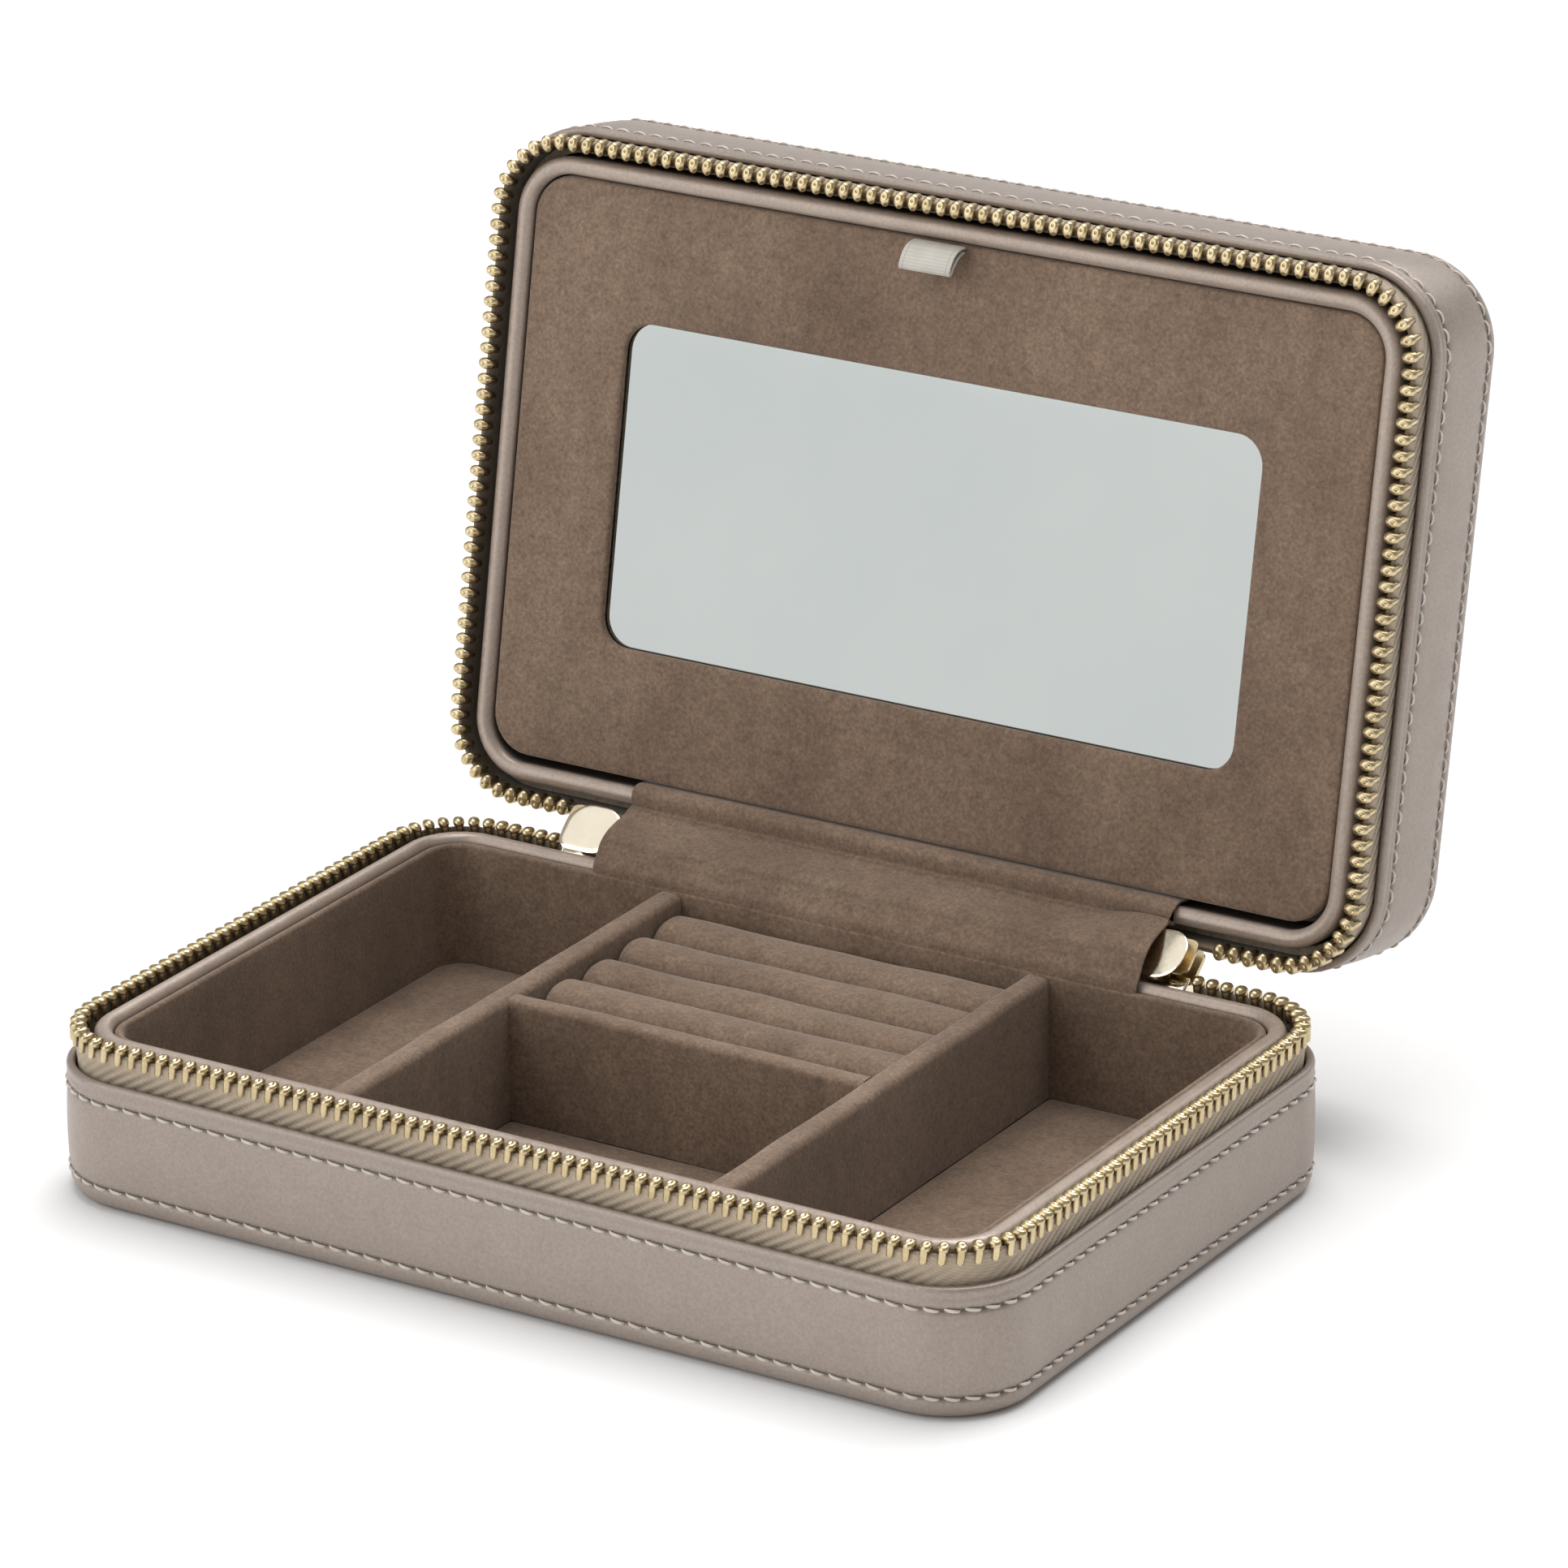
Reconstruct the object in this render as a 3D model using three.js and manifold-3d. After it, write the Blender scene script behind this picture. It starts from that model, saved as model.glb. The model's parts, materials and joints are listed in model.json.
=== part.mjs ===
// Travel jewelry case: two leather-covered halves that close with a two-slider zip,
// a divided tray with ring rolls in the base, and a mirror panel that shuts a pocket in the lid.
//
// Millimetres. X runs to the right along the front, Y back to the hinge, Z up.
// The origin is the middle of the base's underside.
// The lid, sliders and pulls are drawn as they sit in the shut case, in groups turned about the hinge.
import * as THREE from 'three';
import { mergeVertices } from 'three/addons/utils/BufferGeometryUtils.js';
import Module from 'manifold-3d';

// ---- Case ----
const WIDTH = 165;
const DEPTH = 109;
const CORNER = 14; // outer corner radius in plan
const HALF = 27; // height of each half: the halves meet at z = HALF
const CLEAR = 0.3; // gap kept between neighbouring pieces
const CORNER_STEPS = 8;

// ---- Hinge line, just behind the rear wall ----
const OPEN_DEG = 100.36;
const HINGE_Y = DEPTH / 2 + 0.7;

// ---- Wall layers, as distances in from the outside ----
const LEATHER = { outer: 0, inner: 1.4 };
const TAPE = { outer: 1.7, inner: 2.3 };
const BOARD = { outer: 2.6, inner: 4.0 };
const TEETH = { outer: 0.9, inner: 3.1 };
const RIM = { outer: 4.36, inner: 7.1 };
const LINER = { outer: 7.4, inner: 8.6 };
const POCKET_LINER = { outer: 7.4, inner: 8.2 };

// ---- The same layers, as distances from the parting plane ----
const LEATHER_SPAN = [6.6, 25.0];
const TAPE_SPAN = [3.8, 13.0];
const TEETH_SPAN = [0.15, 3.5];
const BOARD_SPAN = [7.0, 23.7];
const STIFFENER_SPAN = [24.0, 25.0];
const PANEL_FROM = 25.3;
const LINING_SPAN = [23.0, 23.7];
const TRAY_RIM_TOP = 1.4;
const LID_RIM_TOP = 2.2;
const RIM_EDGE = [[0, 1.2], [0.14, 0.35], [0.5, 0], [0.86, 0.35], [1, 1.2]]; // share across, and mm down
const LINER_TOP = 2.4;
const POCKET_TOP = 9.6;
const PANEL_EDGE = [[0, 0], [0, 0.6], [0.3, 1.25], [1, 1.7]]; // (inset, mm out) of the outer panels' round edge

// ---- Tray ----
const DIVIDER = 4.2; // thickness of the two long dividers
const LEFT_DIVIDER_X = -34.5;
const RIGHT_DIVIDER_X = 31.6;
const CROSS_DIVIDER_Y = [-3.4, 0.2];
const DIVIDER_TOP = 24.2;
const DIVIDER_ROUND = 1.2;
const ROLL_RADIUS = 5.03;
const ROLL_PITCH = 10.4;
const ROLL_COUNT = 4;
const ROLL_Z = 17.9;
const LAST_ROLL_Y = 40.6;
const BED_TOP = 12.5;
const ROLL_SIDES = 16;

// ---- Zip ends ----
const TEETH_END_X = 56.9;
const TAPE_END_X = 44.2;
const STOP = { from: 44.2, to: 45.7, outer: 1.4, inner: 2.6, near: 1.4, far: 3.5 };
const SLIDER_X = 51.2;
const SLIDER = { length: 10.4, height: 6.0, tail: 4.6, round: 1.4, plate: 0.6, cap: 0.8 };
const SLIDER_INNER_Y = HINGE_Y - 2.8; // the side of the slider that faces the tray
const SLIDER_GAP_FROM = SLIDER_INNER_Y + SLIDER.plate;
const SLIDER_GAP_TO = SLIDER_GAP_FROM + 2.4; // room between its plates for the teeth
const SLIDER_OUTER_Y = SLIDER_GAP_TO + SLIDER.cap;
const SLIDER_POST = [[5.0, 0], [2.6, 1.1], [0.8, 0], [2.6, -1.1]]; // (x, z) of the wedge between its plates
const LUG = { width: 3.2, height: 1.4, reach: 1.8 };
const PIVOT_Y = SLIDER_OUTER_Y + LUG.reach;
const PIN_RADIUS = 0.45;
const PIN_HOLE = 0.8;
const PULL = { length: 18, width: 4.6, waist: 3.4, thick: 1.4, eye: 1.3, cheek: 0.7, fork: 3.4, taper: 2.4 };

// ---- Hinge strips ----
const OUTER_SPINE = { halfWidth: 43.8, thick: 0.6, buried: 7.2, mouth: 5.5, bulge: 5, steps: 24 };
const INNER_STRIP = {
  halfWidth: 45.7,
  thick: 0.7,
  steps: 30,
  tucked: [6.0, 3.4], // depths of its end in the gap under the mirror panel
  free: [[56.4, 30.6], [53.4, 30.1], [50.4, 29.3], [47.9, 27.6]], // (y, z) of its fall to the tray
  trayTop: 26.2,
};

// ---- Mirror panel in the lid: heights run up from the lid's hinge edge ----
const MIRROR = { width: 113.2, height: 51.8, radius: 4.7, middle: 54.6 };
const PANEL = { bottom: 8.4, top: 101.6, side: 7.4, radius: 6.6 };
const FRONT_BOARD = [3.2, 4.4];
const GLASS_SPAN = [4.7, 5.9];
const BACK_BOARD = [6.2, 7.4];
const GLASS = { width: 117, height: 55, radius: 2 };
const CATCH = { reach: 60, bottom: 97, top: 100.2, span: [9.6, 12.6] };
const MAGNET = { near: 42, far: 54, span: [8.5, 9.3] };
const KEEPER_SPAN = [7.7, 8.2];
const RIBBON = {
  middle: -1.5,
  width: 9,
  root: 101.0,
  rootDepth: 2.6,
  fold: [[0.5, 0], [0.2, 1.9], [-1.2, 3.9], [-3.4, 4.6], [-3.8, 4.1], [-1.8, 3.1], [-0.7, 1.6], [-0.5, 0]],
};

const wasm = await Module();
wasm.setup();

// ---- Finishes ----
function finish(color, roughness, metalness = 0) {
  return { color, roughness, metalness };
}

const FINISHES = {
  leather: finish(0xa59b91, 0.55),
  suede: finish(0x7d6c5f, 0.95),
  rim: finish(0xb9afa5, 0.6),
  tape: finish(0x6a5c50, 0.9),
  brass: finish(0xd9c48c, 0.25, 1),
  board: finish(0x9a8b78, 0.9),
  mirror: finish(0xc5cac8, 0.05, 1),
  ribbon: finish(0xd2d0c8, 0.6),
  foam: finish(0x96846f, 0.95),
  steel: finish(0x9b9da0, 0.4, 1),
};

function part(name, geometry, finishName) {
  const mesh = new THREE.Mesh(geometry, new THREE.MeshStandardMaterial(FINISHES[finishName]));
  mesh.name = name;
  return mesh;
}

// ---- Building closed meshes ----
function signedVolume(points, triangles) {
  let total = 0;
  for (const corners of triangles) {
    const [a, b, c] = corners.map((index) => new THREE.Vector3(...points[index]));
    total += a.dot(b.cross(c));
  }
  return total;
}

function closedGeometry(points, triangles) {
  const facesIn = signedVolume(points, triangles) < 0;
  const ordered = facesIn ? triangles.map(([a, b, c]) => [a, c, b]) : triangles;
  const geometry = new THREE.BufferGeometry();
  geometry.setAttribute('position', new THREE.Float32BufferAttribute(points.flat(), 3));
  geometry.setIndex(ordered.flat());
  geometry.computeVertexNormals();
  return geometry;
}

// Joins a row of matching sections; a row that isn't a loop gets a cap at each end.
function loft(sections, isLoop) {
  const count = sections[0].length;
  const spans = isLoop ? sections.length : sections.length - 1;
  const triangles = [];
  for (let i = 0; i < spans; i += 1) {
    const here = i * count;
    const next = ((i + 1) % sections.length) * count;
    for (let j = 0; j < count; j += 1) {
      const k = (j + 1) % count;
      triangles.push([here + j, next + j, next + k], [here + j, next + k, here + k]);
    }
  }
  const last = (sections.length - 1) * count;
  for (let j = 1; j < count - 1 && !isLoop; j += 1) {
    triangles.push([0, j, j + 1], [last, last + j + 1, last + j]);
  }
  return closedGeometry(sections.flat(), triangles);
}

// A rounded rectangle as stations, each a point with its outward normal, starting behind on the left.
function stationsOf(width, depth, radius) {
  const corners = [[-1, 1, 90], [-1, -1, 180], [1, -1, 270], [1, 1, 0]];
  const stations = [];
  for (const [sideX, sideY, start] of corners) {
    for (let step = 0; step <= CORNER_STEPS; step += 1) {
      const angle = THREE.MathUtils.degToRad(start + (90 * step) / CORNER_STEPS);
      const nx = Math.cos(angle);
      const ny = Math.sin(angle);
      const x = sideX * (width / 2 - radius) + radius * nx;
      const y = sideY * (depth / 2 - radius) + radius * ny;
      stations.push({ x, y, nx, ny });
    }
  }
  return stations;
}

const caseStations = stationsOf(WIDTH, DEPTH, CORNER);

// The same outline, open along the back between -endX and endX.
function openStations(endX) {
  const back = { y: DEPTH / 2, nx: 0, ny: 1 };
  return [{ ...back, x: -endX }, ...caseStations, { ...back, x: endX }];
}

function pointAt(station, inset, z) {
  return [station.x - inset * station.nx, station.y - inset * station.ny, z];
}

// Sweeps a section, given as [inset, z] corners, along the case's outline.
function wall(profile, stations = caseStations) {
  const sections = stations.map((station) => profile.map(([inset, z]) => pointAt(station, inset, z)));
  return loft(sections, stations === caseStations);
}

function plate(levels) {
  return loft(levels.map(([inset, z]) => caseStations.map((station) => pointAt(station, inset, z))), false);
}

// ---- Joining and cutting ----
function toManifold(geometry) {
  const bare = geometry.clone();
  bare.deleteAttribute('normal');
  bare.deleteAttribute('uv');
  const merged = mergeVertices(bare, 1e-4);
  const vertProperties = new Float32Array(merged.attributes.position.array);
  const triVerts = new Uint32Array(merged.index.array);
  return new wasm.Manifold(new wasm.Mesh({ numProp: 3, vertProperties, triVerts }));
}

function fromManifold(solid) {
  const { vertProperties, triVerts } = solid.getMesh();
  const geometry = new THREE.BufferGeometry();
  geometry.setAttribute('position', new THREE.BufferAttribute(vertProperties, 3));
  geometry.setIndex(new THREE.BufferAttribute(triVerts, 1));
  geometry.computeVertexNormals();
  return geometry;
}

function join(geometries, cuts = []) {
  let solid = toManifold(geometries[0]);
  for (const geometry of geometries.slice(1)) solid = solid.add(toManifold(geometry));
  for (const cut of cuts) solid = solid.subtract(toManifold(cut));
  return fromManifold(solid);
}

// ---- Simple shapes ----
function block(x, y, z) {
  const geometry = new THREE.BoxGeometry(x[1] - x[0], y[1] - y[0], z[1] - z[0]);
  return geometry.translate((x[0] + x[1]) / 2, (y[0] + y[1]) / 2, (z[0] + z[1]) / 2);
}

function roundedRect(width, height, radius, shape = new THREE.Shape()) {
  const x = width / 2 - radius;
  const y = height / 2 - radius;
  shape.absarc(x, -y, radius, -Math.PI / 2, 0);
  shape.absarc(x, y, radius, 0, Math.PI / 2);
  shape.absarc(-x, y, radius, Math.PI / 2, Math.PI);
  shape.absarc(-x, -y, radius, Math.PI, 1.5 * Math.PI);
  shape.closePath();
  return shape;
}

function polygon(corners) {
  return new THREE.Shape(corners.map(([x, y]) => new THREE.Vector2(x, y)));
}

function extrude(shape, span, curveSegments = 6) {
  const options = { depth: span[1] - span[0], bevelEnabled: false, curveSegments };
  return new THREE.ExtrudeGeometry(shape, options).translate(0, 0, span[0]);
}

// Extrudes a (y, z) outline along X.
function extrudeAlongX(shape, span) {
  const geometry = extrude(shape, span);
  return geometry.applyMatrix4(new THREE.Matrix4().makeBasis(
    new THREE.Vector3(0, 1, 0),
    new THREE.Vector3(0, 0, 1),
    new THREE.Vector3(1, 0, 0),
  ));
}

// Extrudes an (x, z) outline along Y.
function extrudeAlongY(shape, span) {
  return extrude(shape, [-span[1], -span[0]]).rotateX(Math.PI / 2);
}

// The (y, z) outline of a strip of even thickness that follows a curve.
function stripOutline(curve, thick, steps) {
  const left = [];
  const right = [];
  for (let i = 0; i <= steps; i += 1) {
    const at = curve.getPointAt(i / steps);
    const along = curve.getTangentAt(i / steps);
    const across = new THREE.Vector2(-along.y, along.x).multiplyScalar(thick / 2);
    left.push(at.clone().add(across));
    right.unshift(at.clone().sub(across));
  }
  return new THREE.Shape([...left, ...right]);
}

// ---- Both halves: side is -1 for the base and 1 for the lid ----
function heightAt(side, depth) {
  return HALF + side * depth;
}

function layer(side, inset, span, stations) {
  const near = heightAt(side, span[0]);
  const far = heightAt(side, span[1]);
  return wall([[inset.outer, near], [inset.inner, near], [inset.inner, far], [inset.outer, far]], stations);
}

function flatLayer(side, inset, span) {
  return plate([[inset, heightAt(side, span[0])], [inset, heightAt(side, span[1])]]);
}

// A rim whose edge towards the parting plane is rounded over.
function roundedRim(side, top) {
  const span = RIM.inner - RIM.outer;
  const edge = RIM_EDGE.map(([across, down]) => [RIM.outer + across * span, heightAt(side, top + down)]);
  const foot = heightAt(side, BOARD_SPAN[1]);
  return wall([...edge, [RIM.inner, foot], [RIM.outer, foot]]);
}

function outerPanel(side) {
  return plate(PANEL_EDGE.map(([inset, out]) => [inset, heightAt(side, PANEL_FROM + out)]));
}

function zipStop(side, sideX) {
  const x = [sideX * STOP.from, sideX * STOP.to].sort((a, b) => a - b);
  const z = [heightAt(side, STOP.near), heightAt(side, STOP.far)].sort((a, b) => a - b);
  return block(x, [DEPTH / 2 - STOP.inner, DEPTH / 2 - STOP.outer], z);
}

function shellParts(side, prefix, rimName, rimTop) {
  return [
    part(`${prefix}_leather_band`, layer(side, LEATHER, LEATHER_SPAN), 'leather'),
    part(`${prefix}_outer_panel`, outerPanel(side), 'leather'),
    part(`${prefix}_stiffener_board`, flatLayer(side, TAPE.outer, STIFFENER_SPAN), 'board'),
    part(`${prefix}_wall_board`, layer(side, BOARD, BOARD_SPAN), 'board'),
    part(`${prefix}_zip_tape`, layer(side, TAPE, TAPE_SPAN, openStations(TAPE_END_X)), 'tape'),
    part(`${prefix}_zip_teeth`, layer(side, TEETH, TEETH_SPAN, openStations(TEETH_END_X)), 'brass'),
    part(`${prefix}_left_zip_stop`, zipStop(side, -1), 'brass'),
    part(`${prefix}_right_zip_stop`, zipStop(side, 1), 'brass'),
    part(rimName, roundedRim(side, rimTop), 'rim'),
  ];
}

// ---- Tray in the base ----
function dividerOutline(thick, bottom, top) {
  const half = thick / 2;
  const shoulder = half - DIVIDER_ROUND;
  const shape = new THREE.Shape();
  shape.moveTo(-half, bottom);
  shape.lineTo(half, bottom);
  shape.absarc(shoulder, top - DIVIDER_ROUND, DIVIDER_ROUND, 0, Math.PI / 2);
  shape.absarc(-shoulder, top - DIVIDER_ROUND, DIVIDER_ROUND, Math.PI / 2, Math.PI);
  shape.closePath();
  return shape;
}

function longDivider(leftX, floor, reach) {
  const outline = dividerOutline(DIVIDER, floor, DIVIDER_TOP);
  return extrudeAlongY(outline, [-reach, reach]).translate(leftX + DIVIDER / 2, 0, 0);
}

function crossDivider(span, floor) {
  const [front, back] = CROSS_DIVIDER_Y;
  const outline = dividerOutline(back - front, floor, DIVIDER_TOP);
  return extrudeAlongX(outline, span).translate(0, (front + back) / 2, 0);
}

function ringRoll(span, y) {
  const length = span[1] - span[0];
  const round = ROLL_RADIUS * 0.7;
  const profile = [new THREE.Vector2(0, 0)];
  for (let step = 1; step <= 4; step += 1) {
    const angle = (step / 4) * (Math.PI / 2);
    profile.push(new THREE.Vector2(ROLL_RADIUS * Math.sin(angle), round * (1 - Math.cos(angle))));
  }
  profile.push(new THREE.Vector2(ROLL_RADIUS, length));
  profile.push(new THREE.Vector2(0, length));
  const roll = new THREE.LatheGeometry(profile, ROLL_SIDES);
  return roll.rotateZ(-Math.PI / 2).translate(span[0], y, ROLL_Z);
}

function trayParts() {
  const floor = heightAt(-1, LINING_SPAN[0]) + CLEAR;
  const reach = DEPTH / 2 - LINER.inner - CLEAR;
  const between = [LEFT_DIVIDER_X + DIVIDER + CLEAR, RIGHT_DIVIDER_X - CLEAR];
  const parts = [
    part('tray_liner', layer(-1, LINER, [LINER_TOP, LINING_SPAN[0] - CLEAR]), 'suede'),
    part('tray_floor_pad', flatLayer(-1, LINER.outer, LINING_SPAN), 'suede'),
    part('left_divider', longDivider(LEFT_DIVIDER_X, floor, reach), 'suede'),
    part('right_divider', longDivider(RIGHT_DIVIDER_X, floor, reach), 'suede'),
    part('cross_divider', crossDivider(between, floor), 'suede'),
    part('ring_roll_bed', block(between, [CROSS_DIVIDER_Y[1] + CLEAR, reach], [floor, BED_TOP]), 'foam'),
  ];
  for (let i = 0; i < ROLL_COUNT; i += 1) {
    const y = LAST_ROLL_Y - ROLL_PITCH * (ROLL_COUNT - 1 - i);
    parts.push(part(`ring_roll_${i + 1}`, ringRoll(between, y), 'suede'));
  }
  return parts;
}

// ---- Hinge strips, bent as the open lid bends them ----
const openAngle = THREE.MathUtils.degToRad(OPEN_DEG);

// Where a point of the shut lid, given by its inset and depth, goes when the lid is open.
function openLidPoint(inset, depth) {
  const shut = new THREE.Vector2(DEPTH / 2 - inset - HINGE_Y, depth);
  return shut.rotateAround(new THREE.Vector2(), -openAngle).add(new THREE.Vector2(HINGE_Y, HALF));
}

function outerSpine() {
  const slot = (TAPE.outer + TAPE.inner) / 2;
  const { mouth } = OUTER_SPINE;
  const foot = new THREE.Vector2(DEPTH / 2 - slot, HALF - mouth - OUTER_SPINE.buried);
  const leaves = new THREE.Vector2(DEPTH / 2 - slot, HALF - mouth);
  const enters = openLidPoint(slot, mouth);
  const end = openLidPoint(slot, mouth + OUTER_SPINE.buried);
  const rising = leaves.clone().add(new THREE.Vector2(0, OUTER_SPINE.bulge));
  const falling = enters.clone().add(enters.clone().sub(end).setLength(OUTER_SPINE.bulge));
  const curve = new THREE.CurvePath();
  curve.add(new THREE.LineCurve(foot, leaves));
  curve.add(new THREE.CubicBezierCurve(leaves, rising, falling, enters));
  curve.add(new THREE.LineCurve(enters, end));
  const half = OUTER_SPINE.halfWidth;
  return extrudeAlongX(stripOutline(curve, OUTER_SPINE.thick, OUTER_SPINE.steps), [-half, half]);
}

// Runs from the gap under the mirror panel, over the lid's rim, forward, and down over the tray's rim.
function innerStrip() {
  const gap = (RIM.inner + PANEL.bottom) / 2;
  const over = LID_RIM_TOP - CLEAR - INNER_STRIP.thick;
  const trayEdge = DEPTH / 2 - RIM.inner - CLEAR - INNER_STRIP.thick / 2;
  const curve = new THREE.SplineCurve([
    ...INNER_STRIP.tucked.map((depth) => openLidPoint(gap, depth)),
    openLidPoint(RIM.inner - CLEAR, over),
    openLidPoint(RIM.outer + CLEAR, over),
    ...INNER_STRIP.free.map(([y, z]) => new THREE.Vector2(y, z)),
    new THREE.Vector2(trayEdge, INNER_STRIP.trayTop),
    new THREE.Vector2(trayEdge, HALF - LINER_TOP + CLEAR),
  ]);
  const half = INNER_STRIP.halfWidth;
  return extrudeAlongX(stripOutline(curve, INNER_STRIP.thick, INNER_STRIP.steps), [-half, half]);
}

// ---- Zip sliders and pulls: sideX is -1 on the left, 1 on the right ----
// A plate seen from behind: narrow at its tail, and full height from its shoulder to its mouth.
function sliderPlate(span) {
  const shape = new THREE.Shape();
  const half = SLIDER.length / 2;
  const mouth = SLIDER.height / 2;
  const tail = SLIDER.tail / 2;
  const shoulder = SLIDER.length * 0.05;
  const { round } = SLIDER;
  shape.moveTo(-half + round, -tail);
  shape.lineTo(shoulder, -mouth);
  shape.lineTo(half - round, -mouth);
  shape.quadraticCurveTo(half, -mouth, half, -mouth + round);
  shape.lineTo(half, mouth - round);
  shape.quadraticCurveTo(half, mouth, half - round, mouth);
  shape.lineTo(shoulder, mouth);
  shape.lineTo(-half + round, tail);
  shape.quadraticCurveTo(-half, tail, -half, tail - round);
  shape.lineTo(-half, -tail + round);
  shape.quadraticCurveTo(-half, -tail, -half + round, -tail);
  return extrudeAlongY(shape, span);
}

function sliderGeometry(sideX) {
  const insideInnerPlate = SLIDER_GAP_FROM - SLIDER.plate / 2;
  const insideOuterPlate = SLIDER_GAP_TO + SLIDER.cap / 2;
  const radius = LUG.width / 2;
  const lug = new THREE.Shape();
  lug.moveTo(radius, insideOuterPlate);
  lug.lineTo(radius, PIVOT_Y);
  lug.absarc(0, PIVOT_Y, radius, 0, Math.PI);
  lug.lineTo(-radius, insideOuterPlate);
  const hole = new THREE.Path();
  lug.holes.push(hole.absarc(0, PIVOT_Y, PIN_HOLE, 0, 2 * Math.PI));
  const body = join([
    sliderPlate([SLIDER_INNER_Y, SLIDER_GAP_FROM]),
    sliderPlate([SLIDER_GAP_TO, SLIDER_OUTER_Y]),
    extrudeAlongY(polygon(SLIDER_POST), [insideInnerPlate, insideOuterPlate]),
    extrude(lug, [-LUG.height / 2, LUG.height / 2]),
  ]);
  if (sideX < 0) body.rotateY(Math.PI);
  return body.translate(sideX * SLIDER_X, 0, HALF);
}

function pullCheek(z) {
  const cheek = new THREE.Shape();
  cheek.absarc(0, 0, PULL.eye, Math.PI, 2 * Math.PI);
  cheek.lineTo(PULL.thick / 2, PULL.fork);
  cheek.lineTo(-PULL.thick / 2, PULL.fork);
  cheek.closePath();
  const hole = new THREE.Path();
  cheek.holes.push(hole.absarc(0, 0, PIN_HOLE, 0, 2 * Math.PI));
  return extrude(cheek, [z, z + PULL.cheek]);
}

function pullGeometry(sideX) {
  const half = PULL.width / 2;
  const neck = LUG.height / 2 + CLEAR + PULL.cheek;
  const start = LUG.width / 2 + 2 * CLEAR;
  const waist = PULL.fork + PULL.taper;
  const blade = new THREE.Shape();
  blade.moveTo(-neck, start);
  blade.lineTo(neck, start);
  blade.lineTo(neck, PULL.fork);
  blade.lineTo(PULL.waist / 2, waist);
  blade.lineTo(half, PULL.length - half);
  blade.absarc(0, PULL.length - half, half, 0, Math.PI);
  blade.lineTo(-PULL.waist / 2, waist);
  blade.lineTo(-neck, PULL.fork);
  const flat = extrude(blade, [-PULL.thick / 2, PULL.thick / 2]).rotateY(Math.PI / 2);
  const cheeks = [pullCheek(LUG.height / 2 + CLEAR), pullCheek(-neck)];
  return join([flat, ...cheeks]).translate(sideX * SLIDER_X, PIVOT_Y, HALF);
}

function pinGeometry(sideX) {
  const length = LUG.height + 2 * (CLEAR + PULL.cheek);
  const pin = new THREE.CylinderGeometry(PIN_RADIUS, PIN_RADIUS, length, 12);
  return pin.rotateX(Math.PI / 2).translate(sideX * SLIDER_X, PIVOT_Y, HALF);
}

function zipEnd(sideX, side) {
  return [
    part(`${side}_slider_body`, sliderGeometry(sideX), 'brass'),
    part(`${side}_pull`, pullGeometry(sideX), 'brass'),
    part(`${side}_pull_pin`, pinGeometry(sideX), 'steel'),
  ];
}

// ---- Lid pocket and its mirror panel ----
function lidY(height) {
  return DEPTH / 2 - height;
}

function lidSlab(shape, height, span) {
  return extrude(shape, span).translate(0, lidY(height), HALF);
}

function framedSlab(opening, span) {
  const outline = panelOutline();
  const middle = (PANEL.top + PANEL.bottom) / 2;
  const hole = roundedRect(opening.width, opening.height, opening.radius, new THREE.Path());
  const points = hole.getPoints(6).map((point) => point.add(new THREE.Vector2(0, middle - MIRROR.middle)));
  outline.holes.push(new THREE.Path(points));
  return lidSlab(outline, middle, span);
}

function panelOutline() {
  return roundedRect(WIDTH - 2 * PANEL.side, PANEL.top - PANEL.bottom, PANEL.radius);
}

function mirrorPanelParts() {
  const middle = (PANEL.top + PANEL.bottom) / 2;
  const bed = { width: GLASS.width + 2 * CLEAR, height: GLASS.height + 2 * CLEAR, radius: GLASS.radius };
  const glass = roundedRect(GLASS.width, GLASS.height, GLASS.radius);
  const keeper = roundedRect(2 * CATCH.reach, CATCH.top - CATCH.bottom, 0.8);
  return [
    part('mirror_panel_front', framedSlab(MIRROR, FRONT_BOARD), 'suede'),
    part('mirror_panel_spacer', framedSlab(bed, GLASS_SPAN), 'board'),
    part('mirror_glass', lidSlab(glass, MIRROR.middle, GLASS_SPAN), 'mirror'),
    part('mirror_panel_back', lidSlab(panelOutline(), middle, BACK_BOARD), 'suede'),
    part('panel_keeper_plate', lidSlab(keeper, (CATCH.top + CATCH.bottom) / 2, KEEPER_SPAN), 'steel'),
  ];
}

// A folded ribbon: it leaves the panel's top edge, reaches forward and turns down.
function ribbonGeometry() {
  const corners = RIBBON.fold.map(([up, forward]) => [
    lidY(RIBBON.root + up),
    HALF + RIBBON.rootDepth - forward,
  ]);
  const half = RIBBON.width / 2;
  return extrudeAlongX(polygon(corners), [RIBBON.middle - half, RIBBON.middle + half]);
}

function magnet(sideX) {
  const x = [sideX * MAGNET.near, sideX * MAGNET.far].sort((a, b) => a - b);
  const y = [lidY(CATCH.top), lidY(CATCH.bottom)];
  return block(x, y, MAGNET.span.map((depth) => HALF + depth));
}

function pocketParts() {
  const ledgeX = [-CATCH.reach, CATCH.reach];
  const ledgeY = [lidY(CATCH.top), lidY(CATCH.bottom)];
  return [
    part('lid_pocket_liner', layer(1, POCKET_LINER, [POCKET_TOP, LINING_SPAN[0] - CLEAR]), 'suede'),
    part('lid_pocket_back', flatLayer(1, POCKET_LINER.outer, LINING_SPAN), 'suede'),
    part('catch_ledge', block(ledgeX, ledgeY, CATCH.span.map((depth) => HALF + depth)), 'suede'),
    part('left_catch_magnet', magnet(-1), 'steel'),
    part('right_catch_magnet', magnet(1), 'steel'),
  ];
}

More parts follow.
